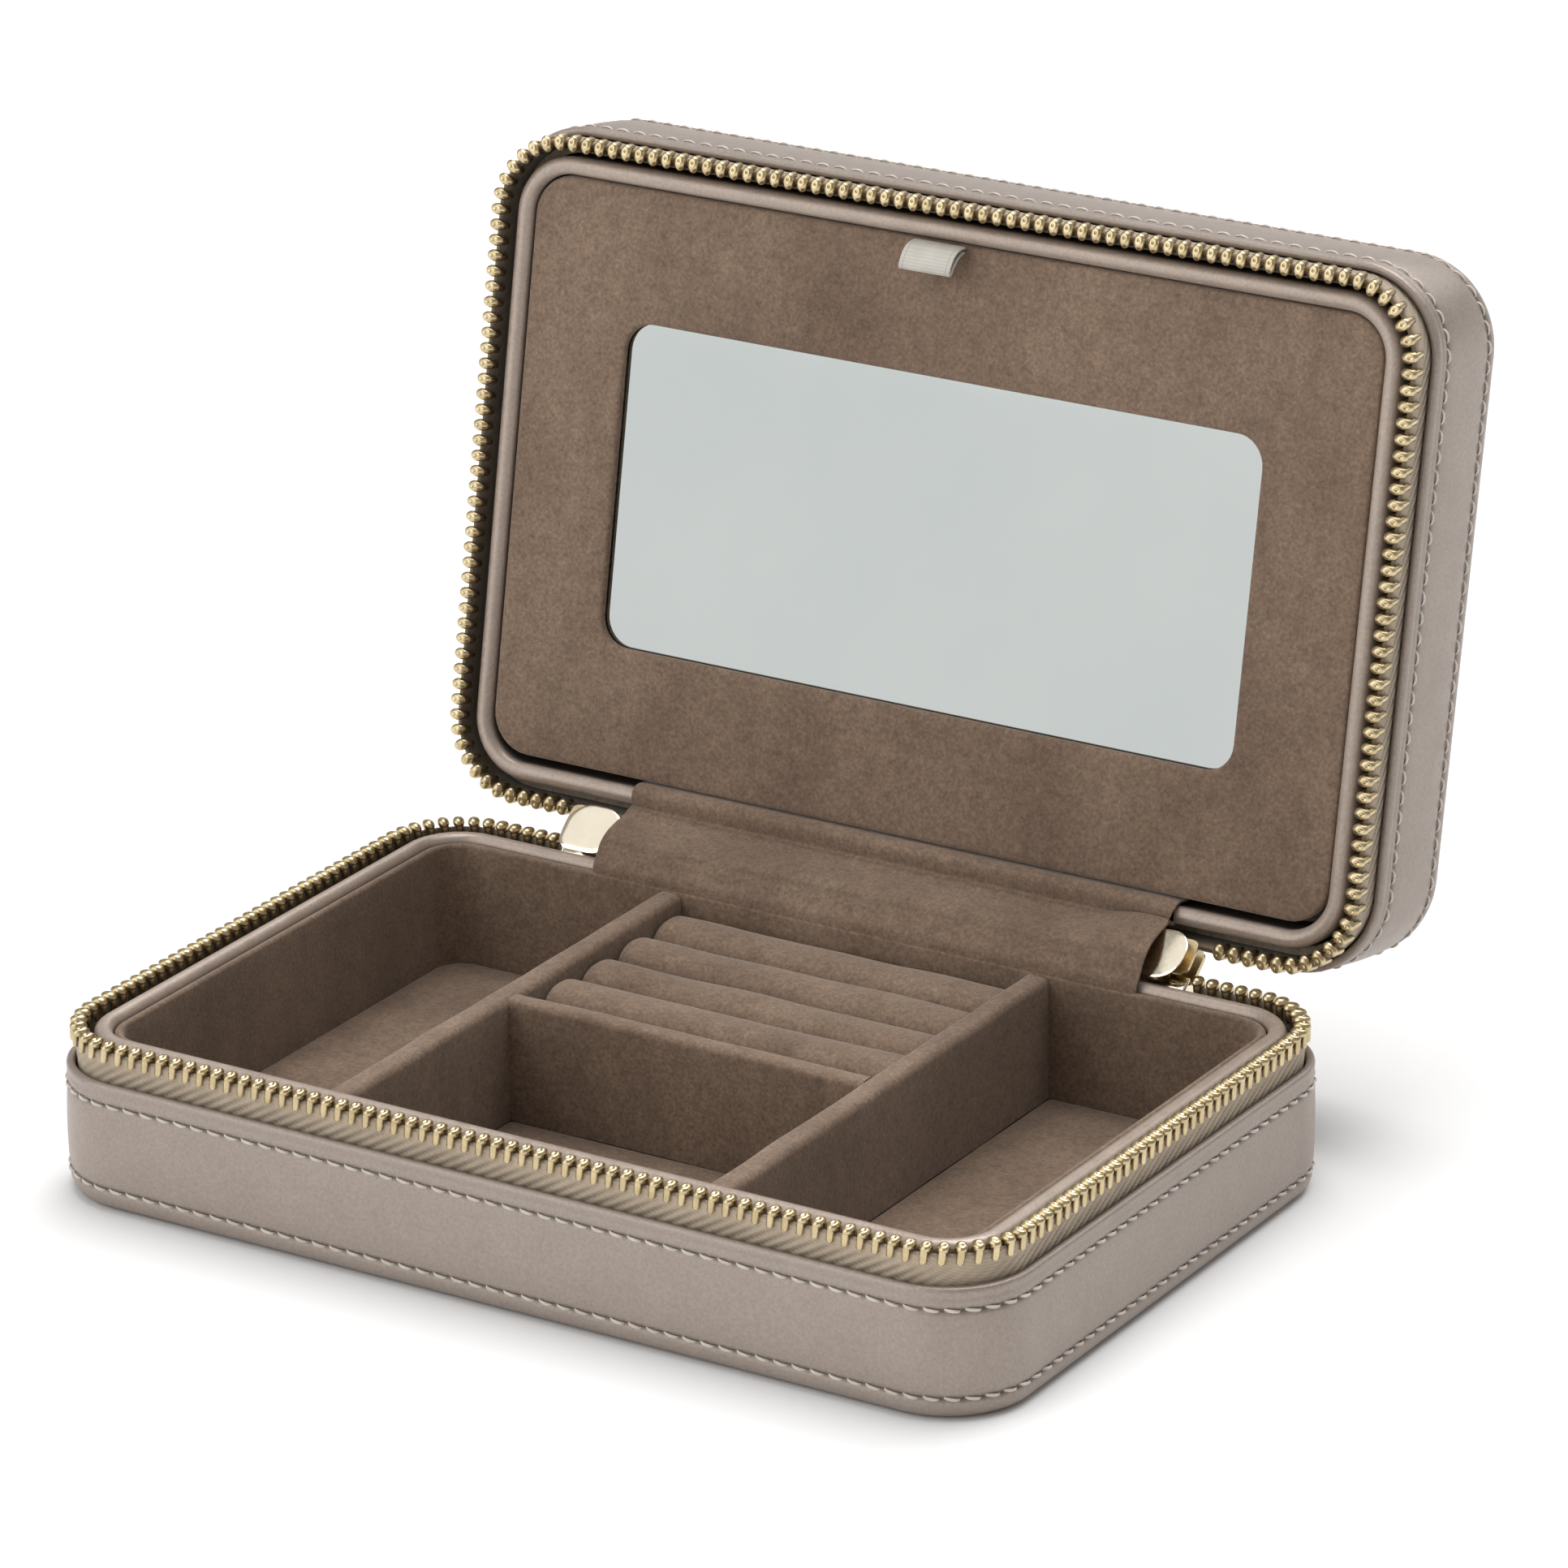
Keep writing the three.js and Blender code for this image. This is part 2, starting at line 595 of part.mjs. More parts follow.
// ---- Assembly ----
// Everything inside turns about the hinge line by the given angle from shut.
function turnedGroup(degrees, meshes) {
  const inner = new THREE.Group();
  inner.position.set(0, -HINGE_Y, -HALF);
  inner.add(...meshes);
  const outer = new THREE.Group();
  outer.position.set(0, HINGE_Y, HALF);
  outer.rotation.x = -THREE.MathUtils.degToRad(degrees);
  outer.add(inner);
  return outer;
}

const base = new THREE.Group();
base.add(...shellParts(-1, 'base', 'tray_rim', TRAY_RIM_TOP));
base.add(...trayParts());
base.add(part('outer_spine', outerSpine(), 'leather'));
base.add(part('inner_hinge_strip', innerStrip(), 'suede'));

const lid = turnedGroup(OPEN_DEG, [
  ...shellParts(1, 'lid', 'lid_rim', LID_RIM_TOP),
  ...pocketParts(),
  ...mirrorPanelParts(),
  part('ribbon_tab', ribbonGeometry(), 'ribbon'),
]);

const zipEnds = turnedGroup(OPEN_DEG / 2, [...zipEnd(-1, 'left'), ...zipEnd(1, 'right')]);

const jewelryCase = new THREE.Group();
jewelryCase.add(base, lid, zipEnds);

export default jewelryCase;
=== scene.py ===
import json
import math

import bmesh
import bpy
from mathutils import Matrix, Vector, noise


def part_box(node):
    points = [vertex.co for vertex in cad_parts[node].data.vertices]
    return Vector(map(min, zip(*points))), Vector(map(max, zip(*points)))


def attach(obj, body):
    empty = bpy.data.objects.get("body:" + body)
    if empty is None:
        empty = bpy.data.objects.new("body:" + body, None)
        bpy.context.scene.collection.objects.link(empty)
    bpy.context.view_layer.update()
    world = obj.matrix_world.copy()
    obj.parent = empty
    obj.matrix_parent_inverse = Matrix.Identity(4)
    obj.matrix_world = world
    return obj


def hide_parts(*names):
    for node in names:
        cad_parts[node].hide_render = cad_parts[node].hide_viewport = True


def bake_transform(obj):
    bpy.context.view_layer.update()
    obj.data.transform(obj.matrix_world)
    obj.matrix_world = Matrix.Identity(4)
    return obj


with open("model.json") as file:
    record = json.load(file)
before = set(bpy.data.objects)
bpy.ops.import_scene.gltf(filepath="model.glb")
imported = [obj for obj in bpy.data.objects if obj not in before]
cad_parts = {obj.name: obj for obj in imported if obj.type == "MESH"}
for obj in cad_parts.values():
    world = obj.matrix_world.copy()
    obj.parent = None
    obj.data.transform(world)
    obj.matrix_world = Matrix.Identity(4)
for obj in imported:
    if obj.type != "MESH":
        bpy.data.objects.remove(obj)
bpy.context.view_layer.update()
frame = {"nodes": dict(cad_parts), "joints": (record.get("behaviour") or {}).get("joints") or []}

# ---- Sizes from the frame ----
MM = 0.001
JOINTS = {joint["name"]: joint for joint in frame["joints"]}
HINGE = Vector(JOINTS["lid_hinge"]["pos_m"]) / MM
OPEN = math.radians(-JOINTS["lid_hinge"]["range_deg"][0])
HALF = HINGE.z
BAND_LOW, BAND_HIGH = (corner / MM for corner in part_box("base_leather_band"))
WIDTH = BAND_HIGH.x - BAND_LOW.x
DEPTH = BAND_HIGH.y - BAND_LOW.y
CORNER = 14


def span(node, axis):
    """Lowest and highest coordinate of a CAD node along one axis, in mm."""
    low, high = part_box(node)
    return low[axis] / MM, high[axis] / MM


# ---- Sizes of the looks ----
STITCHES = 171  # in each row round a half
STITCH_ROWS = {"top": 9.9, "bottom": 23.6}  # depth of each row
THREAD = 0.26  # half of a thread's width
TOOTH_PITCH = 2.47
TOOTH_INSET = 2.0
TEETH_END_X = 58.0  # the teeth stop this far from the middle of the back
TAPE_END_X = 44.2
RIM = (4.36, 7.1)  # outer and inner inset of each half's padded rim
LINER = (7.4, 8.6)  # outer and inner inset of the tray's lining
FLOOR_DEPTH = 23.0
WALL_FOOT = 23.7  # depth that the rims reach down to
STATIONS = 264  # points round a whole outline
SHARP_EDGE = 50  # edges sharper than this, in degrees, aren't smoothed over
CORNER_SIGNS = ((-1, 1), (-1, -1), (1, -1), (1, 1))  # back left, front left, front right, back right

# ---- Camera and light, as in the photograph ----
AZIMUTH, ELEVATION, ROLL = (math.radians(angle) for angle in (31.60, 21.142, -0.318))
DISTANCE = 1.2217
AIM_RIGHT, AIM_UP = 0.0143, 0.0596
LENS = 186.1


# ---- Shapes: each one is (points, faces) ----
def merge(shapes):
    points, faces = [], []
    for more_points, more_faces in shapes:
        start = len(points)
        points += more_points
        faces += [tuple(index + start for index in face) for face in more_faces]
    return points, faces


def loft(rings, closed=False):
    """Joins matching rings of points. A row that isn't closed gets a cap at each end."""
    count = len(rings[0])
    points = [point for ring in rings for point in ring]
    faces = []
    for i in range(len(rings) if closed else len(rings) - 1):
        here = i * count
        there = (i + 1) % len(rings) * count
        for j in range(count):
            k = (j + 1) % count
            faces.append((here + j, here + k, there + k, there + j))
    if not closed:
        faces.append(tuple(reversed(range(count))))
        faces.append(tuple(range(len(points) - count, len(points))))
    return points, faces


def bead(centre, radii, dimple, rows, columns):
    """An ellipsoid with a round dimple: (direction, depth, width)."""
    direction, amount, width = dimple
    rings = []
    for i in range(rows + 1):
        lift = math.pi * (i + 0.35) / (rows + 0.7) - math.pi / 2
        level = math.cos(lift)
        ring = []
        for j in range(columns):
            turn = 2 * math.pi * j / columns
            way = Vector((level * math.cos(turn), level * math.sin(turn), math.sin(lift)))
            off = way.angle(Vector(direction)) / width
            length = 1 - amount * math.exp(-off * off)
            ring.append(Vector(centre) + Vector(w * r * length for w, r in zip(way, radii)))
        rings.append(ring)
    return loft(rings)


def oval(centre, across, up, half_across, half_up, count):
    """A ring of points round a centre, in the plane of two directions."""
    ring = []
    for j in range(count):
        turn = 2 * math.pi * j / count
        ring.append(centre + across * (half_across * math.cos(turn)) + up * (half_up * math.sin(turn)))
    return ring


def rounded_rect(x, y, radii, inset=0.0, steps=6):
    """Points round a rectangle. The corners' radii start at the left front and go on to the right front."""
    corners = (
        (x[0], y[0], 1, 1, 180),
        (x[1], y[0], -1, 1, 270),
        (x[1], y[1], -1, -1, 0),
        (x[0], y[1], 1, -1, 90),
    )
    points = []
    for (corner_x, corner_y, in_x, in_y, start), radius in zip(corners, radii):
        for step in range(steps + 1):
            angle = math.radians(start + 90 * step / steps)
            left = max(radius - inset, 0.02)
            reach = inset + left
            points.append((
                corner_x + in_x * reach + left * math.cos(angle),
                corner_y + in_y * reach + left * math.sin(angle),
            ))
    return points


def pad(x, y, radii, levels):
    """A closed pad: levels are (inset, z) from its underside to its top."""
    return loft([[(px, py, z) for px, py in rounded_rect(x, y, radii, inset)] for inset, z in levels])


def curve_through(points, steps):
    """A smooth line through 2-D points, as a list of points with steps between each pair."""
    line = []
    last = len(points) - 1
    for i in range(last):
        before, start, end, after = (Vector(points[min(max(j, 0), last)]) for j in range(i - 1, i + 3))
        for step in range(steps):
            t = step / steps
            line.append(0.5 * (
                2 * start + (end - before) * t
                + (2 * before - 5 * start + 4 * end - after) * t ** 2
                + (3 * start - before - 3 * end + after) * t ** 3
            ))
    line.append(Vector(points[-1]))
    return line


def strip_section(line, thick):
    """The outline of a strip of even thickness along a 2-D line."""
    left, right = [], []
    for i, point in enumerate(line):
        along = (line[min(i + 1, len(line) - 1)] - line[max(i - 1, 0)]).normalized()
        across = Vector((-along.y, along.x)) * thick / 2
        left.append(point + across)
        right.insert(0, point - across)
    return left + right


# ---- The outline that both halves share ----
def perimeter(inset=0.0):
    return 2 * (WIDTH + DEPTH) - 8 * CORNER + 2 * math.pi * (CORNER - inset)


def outline(s, inset=0.0):
    """The point and outward normal at arc length s, from the middle of the back and going left."""
    radius = CORNER - inset
    half_x, half_y = WIDTH / 2 - CORNER, DEPTH / 2 - CORNER
    quarter = radius * math.pi / 2
    corners = [Vector((x * half_x, y * half_y)) for x, y in CORNER_SIGNS]
    start = Vector((0, half_y))
    angle = math.pi / 2
    s %= perimeter(inset)
    for length, corner in zip((half_x, 2 * half_y, 2 * half_x, 2 * half_y), corners):
        normal = Vector((math.cos(angle), math.sin(angle)))
        if s <= length:
            return start + Vector((-normal.y, normal.x)) * s + normal * radius, normal
        s -= length
        if s <= quarter:
            bearing = angle + s / radius
            normal = Vector((math.cos(bearing), math.sin(bearing)))
            return corner + normal * radius, normal
        s -= quarter
        start = corner
        angle += math.pi / 2
    normal = Vector((0, 1))
    return start + Vector((-1, 0)) * s + normal * radius, normal


def around():
    """Evenly spaced stations round the whole outline."""
    return [outline(i * perimeter() / STATIONS) for i in range(STATIONS)]


def section_at(station, profile):
    """Places (inset, depth) points at a station."""
    point, normal = station
    return [(*(point - normal * inset), depth) for inset, depth in profile]


def sweep(profile):
    """Runs a closed profile round the whole outline."""
    return loft([section_at(station, profile) for station in around()], closed=True)


def plate(levels):
    """A closed plate of the case's outline: levels are (inset, depth)."""
    return loft([[section_at(station, [level])[0] for station in around()] for level in levels])


# ---- Making objects ----
class Half:
    """The base or the lid: where its own points are in the frame, with the lid standing open."""

    def __init__(self, name, sign, turn):
        self.name = name
        self.sign = sign
        self.turn = turn

    def seat(self, point):
        x, y, depth = point
        return self.turn @ Vector((x, y, HALF + self.sign * depth))


def turned(angle):
    """The turn about the hinge line from where the shut case has a point."""
    return Matrix.Translation(HINGE) @ Matrix.Rotation(-angle, 4, "X") @ Matrix.Translation(-HINGE)


BASE = Half("base", -1, Matrix.Identity(4))
LID = Half("lid", 1, turned(OPEN))


def piece(name, shape, material, body, replaces=(), half=None, shade=None):
    """Makes one object from a shape, seats it on a body, and hides the CAD nodes that it stands for.

    half says that the shape has a half's own points, and shade is painted shade that darkens each point in
    the creases, holes and gaps.
    """
    points, faces = shape
    if half:
        points = [half.seat(point) for point in points]
    mesh = bpy.data.meshes.new(name)
    mesh.from_pydata([Vector(point) * MM for point in points], [], faces)
    if shade:
        # the painted shade of each point, which the finishes use to darken creases, holes and gaps
        mesh.attributes.new("painted_shade", "FLOAT", "POINT").data.foreach_set("value", shade)
    work = bmesh.new()
    work.from_mesh(mesh)
    bmesh.ops.recalc_face_normals(work, faces=work.faces)
    work.to_mesh(mesh)
    work.free()
    mesh.shade_smooth()
    mesh.set_sharp_from_angle(angle=math.radians(SHARP_EDGE))
    mesh.materials.append(material)
    obj = bpy.data.objects.new(name, mesh)
    bpy.context.scene.collection.objects.link(obj)
    if body:
        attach(obj, body)
    if replaces:
        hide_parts(*replaces)
    return obj


def keep_node(node, material, bevel=0.0):
    """Shows a CAD node as it is, with a finish, and with its edges eased by a modifier."""
    obj = frame["nodes"][node]
    obj.data.materials.clear()
    obj.data.materials.append(material)
    if bevel:
        weld = obj.modifiers.new("weld", "WELD")
        weld.merge_threshold = 1e-6
        ease = obj.modifiers.new("ease", "BEVEL")
        ease.width = bevel * MM
        ease.segments = 2
        ease.limit_method = "ANGLE"
        ease.angle_limit = math.radians(40)


# ---- Finishes ----
class Finish:
    """A material with a Principled shader and procedural inputs, in the object's own coordinates."""

    def __init__(self, name, **values):
        self.material = bpy.data.materials.new(name)
        self.material.use_nodes = True
        self.tree = self.material.node_tree
        self.shader = self.tree.nodes["Principled BSDF"]
        self.place = self.add("ShaderNodeTexCoord").outputs["Object"]
        for key, value in values.items():
            self.shader.inputs[key.replace("_", " ")].default_value = value

    def add(self, kind, inputs=None, **settings):
        node = self.tree.nodes.new(kind)
        for key, value in settings.items():
            setattr(node, key, value)
        for key, value in (inputs or {}).items():
            if isinstance(value, bpy.types.NodeSocket):
                self.tree.links.new(value, node.inputs[key])
            else:
                node.inputs[key].default_value = value
        return node

    def feed(self, socket, name):
        self.tree.links.new(socket, self.shader.inputs[name])

    def stretched(self, scale, turn=(0, 0, 0)):
        node = self.add("ShaderNodeMapping", {"Vector": self.place, "Scale": scale, "Rotation": turn})
        return node.outputs["Vector"]

    def noise(self, size, detail=2.0, roughness=0.5, vector=None):
        """Noise whose blots are about size mm across."""
        inputs = {
            "Vector": vector or self.place,
            "Scale": 1 / (size * MM),
            "Detail": detail,
            "Roughness": roughness,
        }
        return self.add("ShaderNodeTexNoise", inputs).outputs["Fac"]

    def cells(self, size):
        """Grain cells about size mm across."""
        inputs = {"Vector": self.place, "Scale": 1 / (size * MM)}
        return self.add("ShaderNodeTexVoronoi", inputs, feature="F1").outputs["Distance"]

    def stripes(self, size, turn):
        """Bands size mm apart, turned by a rotation."""
        inputs = {"Vector": self.stretched((1, 1, 1), turn), "Scale": math.pi / 10 / (size * MM)}
        return self.add("ShaderNodeTexWave", inputs, bands_direction="X").outputs["Fac"]

    def between(self, value, low, high, to_low=0.0, to_high=1.0):
        inputs = {"Value": value, "From Min": low, "From Max": high, "To Min": to_low, "To Max": to_high}
        return self.add("ShaderNodeMapRange", inputs).outputs["Result"]

    def mix(self, share, first, second, blend="MIX"):
        node = self.add("ShaderNodeMix", data_type="RGBA", blend_type=blend)
        sockets = (node.inputs[0], node.inputs[6], node.inputs[7])  # the factor and the two colours
        for socket, value in zip(sockets, (share, first, second)):
            if isinstance(value, bpy.types.NodeSocket):
                self.tree.links.new(value, socket)
            else:
                socket.default_value = value
        return node.outputs[2]

    def grey(self, value):
        """A value as a grey colour, to multiply another colour by."""
        node = self.add("ShaderNodeCombineColor", {"Red": value, "Green": value, "Blue": value})
        return node.outputs["Color"]

    def tint(self, colour, *values):
        """A colour made darker or lighter by each value in turn."""
        for value in values:
            colour = self.mix(1.0, colour, self.grey(value), "MULTIPLY")
        return colour

    def painted_shade(self, darkest):
        """Painted shade: 1 on open surface, falling to darkest where the mesh marks a crease, a hole or a
        gap.
        """
        node = self.add("ShaderNodeAttribute", attribute_name="painted_shade")
        return self.between(node.outputs["Fac"], 0, 1, 1, darkest)

    def bumps(self, *layers):
        """Layers of (height, depth in mm, strength), one on another."""
        normal = None
        for height, depth, strength in layers:
            inputs = {"Height": height, "Distance": depth * MM, "Strength": strength}
            if normal:
                inputs["Normal"] = normal
            normal = self.add("ShaderNodeBump", inputs).outputs["Normal"]
        self.feed(normal, "Normal")
        return self.material


def rgb(red, green, blue):
    """A colour given as a photograph has it, from 0 to 255, turned linear."""
    return (*(((v / 255 + 0.055) / 1.055) ** 2.4 for v in (red, green, blue)), 1.0)


def leather(name, light, dark, metallic, roughness):
    look = Finish(name, Metallic=metallic, Coat_Weight=0.08, Coat_Roughness=0.35)
    mottle = look.between(look.noise(6, 5, 0.7), 0.3, 0.7)
    colour = look.mix(mottle, dark, light)
    fleck = look.between(look.noise(0.5, 2), 0.3, 0.7, 0.9, 1.08)
    # painted shade darkens where the mesh marks it: the stitch holes, and the rims' walls
    look.feed(look.tint(colour, fleck, look.painted_shade(0.28)), "Base Color")
    look.feed(look.between(look.noise(3, 3), 0.3, 0.7, roughness - 0.05, roughness + 0.07), "Roughness")
    return look.bumps(
        (look.noise(2.5, 3), 0.03, 0.3),
        (look.cells(0.62), 0.04, 0.5),
        (look.noise(0.25, 2), 0.03, 0.5),
    )


def suede(name, light, dark):
    warm_sheen = (1.0, 0.9, 0.8, 1)
    look = Finish(name, Roughness=0.92, Sheen_Weight=0.45, Sheen_Roughness=0.4, Sheen_Tint=warm_sheen)
    brushed = look.noise(22, 4, 0.65, look.stretched((1, 1, 0.5), (0.4, 0.3, 0.2)))
    nap = look.noise(0.6, 4, 0.75)
    colour = look.mix(look.between(brushed, 0.32, 0.68), dark, light)
    blots = look.between(look.noise(2.4, 5, 0.75), 0.3, 0.7, 0.82, 1.16)
    fibre = look.between(nap, 0.3, 0.7, 0.68, 1.3)
    # painted shade darkens where the mesh marks it, as along the hinge strip's folds
    look.feed(look.tint(colour, blots, fibre, look.painted_shade(0.45)), "Base Color")
    return look.bumps((look.noise(2.2, 3), 0.12, 0.3), (nap, 0.09, 0.7))


def brass(name, dull, bright, roughness, dents):
    """Brass or gold plate. dents is the strength of its small unevenness."""
    look = Finish(name, Metallic=1.0)
    tone = look.between(look.noise(2.5, 3), 0.3, 0.7)
    look.feed(look.mix(tone, dull, bright), "Base Color")
    look.feed(look.between(look.noise(0.8, 3), 0.3, 0.7, roughness, roughness + 0.1), "Roughness")
    return look.bumps((look.noise(0.7, 2), 0.01, dents))


def metal(name, colour, roughness):
    look = Finish(name, Metallic=1.0)
    brushed = look.noise(0.15, 3, 0.6, look.stretched((0.03, 1, 1)))
    look.feed(look.tint(colour, look.between(brushed, 0.3, 0.7, 0.9, 1.05)), "Base Color")
    look.feed(look.between(brushed, 0.3, 0.7, roughness, roughness + 0.15), "Roughness")
    return look.bumps((brushed, 0.008, 0.4))


def mirror():
    look = Finish("silvered_glass", Metallic=1.0)
    haze = look.between(look.noise(30, 3), 0.3, 0.7)
    look.feed(look.mix(haze, rgb(177, 182, 180), rgb(181, 185, 183)), "Base Color")
    look.feed(look.between(look.noise(9, 4, 0.7), 0.3, 0.8, 0.012, 0.03), "Roughness")
    return look.material


def tape():
    look = Finish("twill_tape", Roughness=0.85, Sheen_Weight=0.15, Sheen_Roughness=0.5)
    twill = look.stripes(0.42, (0.6, 0.6, 0.785))
    cross = look.stripes(0.3, (0.6, -0.6, -0.785))
    tone = look.mix(look.between(look.noise(4, 3), 0.3, 0.7), rgb(170, 153, 132), rgb(186, 169, 147))
    shade = look.between(twill, 0, 1, 0.86, 1.04)
    # painted shade darkens the tape between its ribs and in the gaps by the teeth
    look.feed(look.tint(tone, shade, look.painted_shade(0.4)), "Base Color")
    return look.bumps((twill, 0.05, 0.5), (cross, 0.03, 0.4), (look.noise(0.2, 2), 0.02, 0.4))


def ribbon_weave():
    look = Finish("woven_ribbon", Roughness=0.6, Sheen_Weight=0.25, Sheen_Roughness=0.4)
    rib = look.stripes(0.45, (math.pi / 2, 0, math.pi / 2))
    tone = look.mix(look.between(look.noise(3, 3), 0.3, 0.7), rgb(184, 179, 169), rgb(196, 191, 182))
    # painted shade darkens the thinned groove along each woven edge
    look.feed(look.tint(tone, look.between(rib, 0, 1, 0.93, 1.02), look.painted_shade(0.72)), "Base Color")
    return look.bumps((rib, 0.05, 0.6), (look.noise(0.2, 2), 0.02, 0.3))


def thread_twist():
    look = Finish("waxed_thread", Roughness=0.55, Sheen_Weight=0.2)
    twist = look.stripes(0.5, (0.5, 0.9, 0.6))
    tone = look.mix(look.between(look.noise(2, 2), 0.3, 0.7), rgb(194, 184, 172), rgb(212, 203, 192))
    look.feed(look.tint(tone, look.between(twist, 0, 1, 0.9, 1.03)), "Base Color")
    return look.bumps((twist, 0.05, 0.5))


def greyboard():
    look = Finish("pressed_greyboard", Roughness=0.9)
    fibre = look.noise(0.8, 4, 0.7, look.stretched((1, 0.25, 1)))
    tone = look.mix(look.between(fibre, 0.35, 0.65), rgb(138, 124, 106), rgb(166, 152, 134))
    look.feed(look.tint(tone, look.between(look.noise(0.3, 2), 0.3, 0.7, 0.9, 1.08)), "Base Color")
    return look.bumps((fibre, 0.06, 0.5))


LEATHER = leather("taupe_leather", rgb(159, 146, 136), rgb(152, 139, 129), 0.35, 0.4)
RIM_LEATHER = leather("pale_rim_leather", rgb(176, 160, 148), rgb(164, 148, 136), 0.3, 0.38)
SUEDE = suede("brown_suede", rgb(132, 111, 93), rgb(109, 89, 73))
BRASS = brass("pale_brass", rgb(186, 168, 130), rgb(214, 196, 158), 0.24, 0.3)
POLISHED = brass("polished_pale_gold", rgb(240, 228, 204), rgb(246, 235, 213), 0.08, 0.0)
STEEL = metal("brushed_steel", rgb(190, 192, 195), 0.3)
NICKEL = metal("nickel_plate", rgb(200, 200, 202), 0.18)
MIRROR = mirror()
TAPE = tape()
RIBBON = ribbon_weave()
THREAD_COAT = thread_twist()
BOARD = greyboard()


# ---- Leather bands, their stitches, and the outer panels ----
HOLE_DIP = 0.36  # how far the thread pulls the leather in at a hole
BAND_PROFILE = (  # (inset, depth, how far the thread pulls it in, which also sets its painted shade)
    (1.4, 8.0, 0), (1.36, 6.95, 0), (1.15, 6.62, 0), (0.8, 6.5, 0), (0.4, 6.55, 0), (0.1, 6.8, 0),
    (0.0, 7.2, 0), (0.03, 7.7, 0), (0.16, 8.05, 0), (0.05, 8.4, 0), (0.0, 9.0, 0), (0.05, 9.5, 0.1),
    (0.12, 9.75, 0.3), (0.14, 9.9, HOLE_DIP), (0.12, 10.05, 0.3), (0.05, 10.3, 0.1), (0.0, 10.8, 0),
    (-0.1, 12.5, 0), (-0.18, 15, 0), (-0.2, 17, 0), (-0.18, 19, 0), (-0.1, 21.5, 0),
    (0.0, 22.7, 0), (0.05, 23.2, 0.1), (0.12, 23.45, 0.3), (0.14, 23.6, HOLE_DIP), (0.12, 23.75, 0.3),
    (0.05, 24.0, 0.1), (0.04, 24.5, 0), (0.12, 25.2, 0), (0.35, 25.9, 0), (0.8, 26.5, 0), (1.4, 26.85, 0),
    (2.05, 26.9, 0), (2.05, 26.3, 0), (1.5, 25.6, 0), (1.4, 24.5, 0),
)
PULL_AT_QUARTERS = (1.0, 0.45, 0.3, 0.45)  # at a hole, and at each quarter of a stitch


def leather_band():
    """The band, pulled in at each stitch hole, and the painted shade of each of its points, darkest in the
    holes.
    """
    rings, shade = [], []
    count = 4 * STITCHES
    for i in range(count):
        point, normal = outline(i * perimeter() / count)
        pull = PULL_AT_QUARTERS[i % 4]
        ring = []
        for inset, depth, dip in BAND_PROFILE:
            ring.append((*(point - normal * (inset + dip * pull)), depth))
            # painted shade: full in each stitch hole, and a little along the groove between
            shade.append(dip / HOLE_DIP if i % 4 == 0 else dip * 0.5)
        rings.append(ring)
    return loft(rings, closed=True), shade


def stitch(start, length, depth):
    """One slanted thread that dives into the leather at both ends."""
    steps, slant = 7, 0.34
    buried, rise = 0.3, 0.44
    rings = []
    for i in range(steps + 1):
        t = i / steps
        arch = math.sin(math.pi * t) ** 0.6
        point, normal = outline(start + length * t)
        out = Vector((*normal, 0))
        along = Vector((-normal.y, normal.x, 0))
        width = THREAD * (0.7 + 0.3 * arch)
        centre = Vector((*point, depth + slant * (t - 0.5))) + out * (rise * arch - buried)
        rings.append(oval(centre, along.cross(out), out, width, width * 0.72, 6))
    return loft(rings)


def stitch_row(depth):
    """A row of stitches, each with a short gap before and after it."""
    gap = 0.12
    pitch = perimeter() / STITCHES
    return merge([stitch((i + gap) * pitch, pitch * (1 - 2 * gap), depth) for i in range(STITCHES)])


PANEL_EDGE = ((3.4, 25.5), (2.5, 25.6), (2.25, 26.0), (2.25, 26.55), (2.45, 26.85), (3.0, 27.0))


def outer_panel(crown):
    """A panel with a rounded edge, whose face rises by crown towards its middle."""
    edge, face = PANEL_EDGE[-1]
    middle = 13.4
    levels = list(PANEL_EDGE)
    for inset in (4.5, 6.5, 9, 11.5, middle):
        share = (middle - inset) / (middle - edge)
        levels.append((inset, face + crown * (1 - share ** 2)))
    return plate(levels)


def leather_shell(half):
    name, body = half.name, half.name
    shape, shade = leather_band()
    piece(f"{name}_leather", shape, LEATHER, body, [f"{name}_leather_band"], half, shade)
    for row, depth in STITCH_ROWS.items():
        piece(f"{name}_{row}_stitches", stitch_row(depth), THREAD_COAT, body, (), half)
    crown = 0.0 if half is BASE else 0.25
    piece(f"{name}_panel", outer_panel(crown), LEATHER, body, [f"{name}_outer_panel"], half)


# ---- Zip: tape with its diagonal ribs, teeth and stops ----
TAPE_FACE = (  # (inset, depth, how high the ribs stand)
    (1.8, 1.92, 0), (1.52, 2.1, 0), (1.4, 2.5, 0), (1.4, 3.2, 0), (1.42, 3.5, 0.04),
    (1.48, 3.8, 0.14), (1.54, 4.2, 0.22), (1.6, 4.6, 0.28), (1.66, 5.0, 0.32), (1.7, 5.4, 0.35),
    (1.74, 5.8, 0.36), (1.76, 6.2, 0.36), (1.78, 6.6, 0.34), (1.8, 7.2, 0.25), (1.8, 8.2, 0),
)
TAPE_BACK = ((2.3, 8.2), (2.3, 2.4), (2.15, 2.0))
RIB_SLANT = 1.63  # how far a rib runs along the tape for each mm down it
STATIONS_PER_RIB = 8
SLIDER_REACH = 57.5  # the tape stays below the sliders out to here
SLIDER_FOOT = 3.9  # depth that the tape stays below there
TOOTH_LEAN = 0.1


def tape_stations():
    """Arc lengths from one end of the tape to the other."""
    length = perimeter() - 2 * TAPE_END_X
    count = round(length / TOOTH_PITCH) * STATIONS_PER_RIB
    return [TAPE_END_X + length * i / count for i in range(count + 1)]


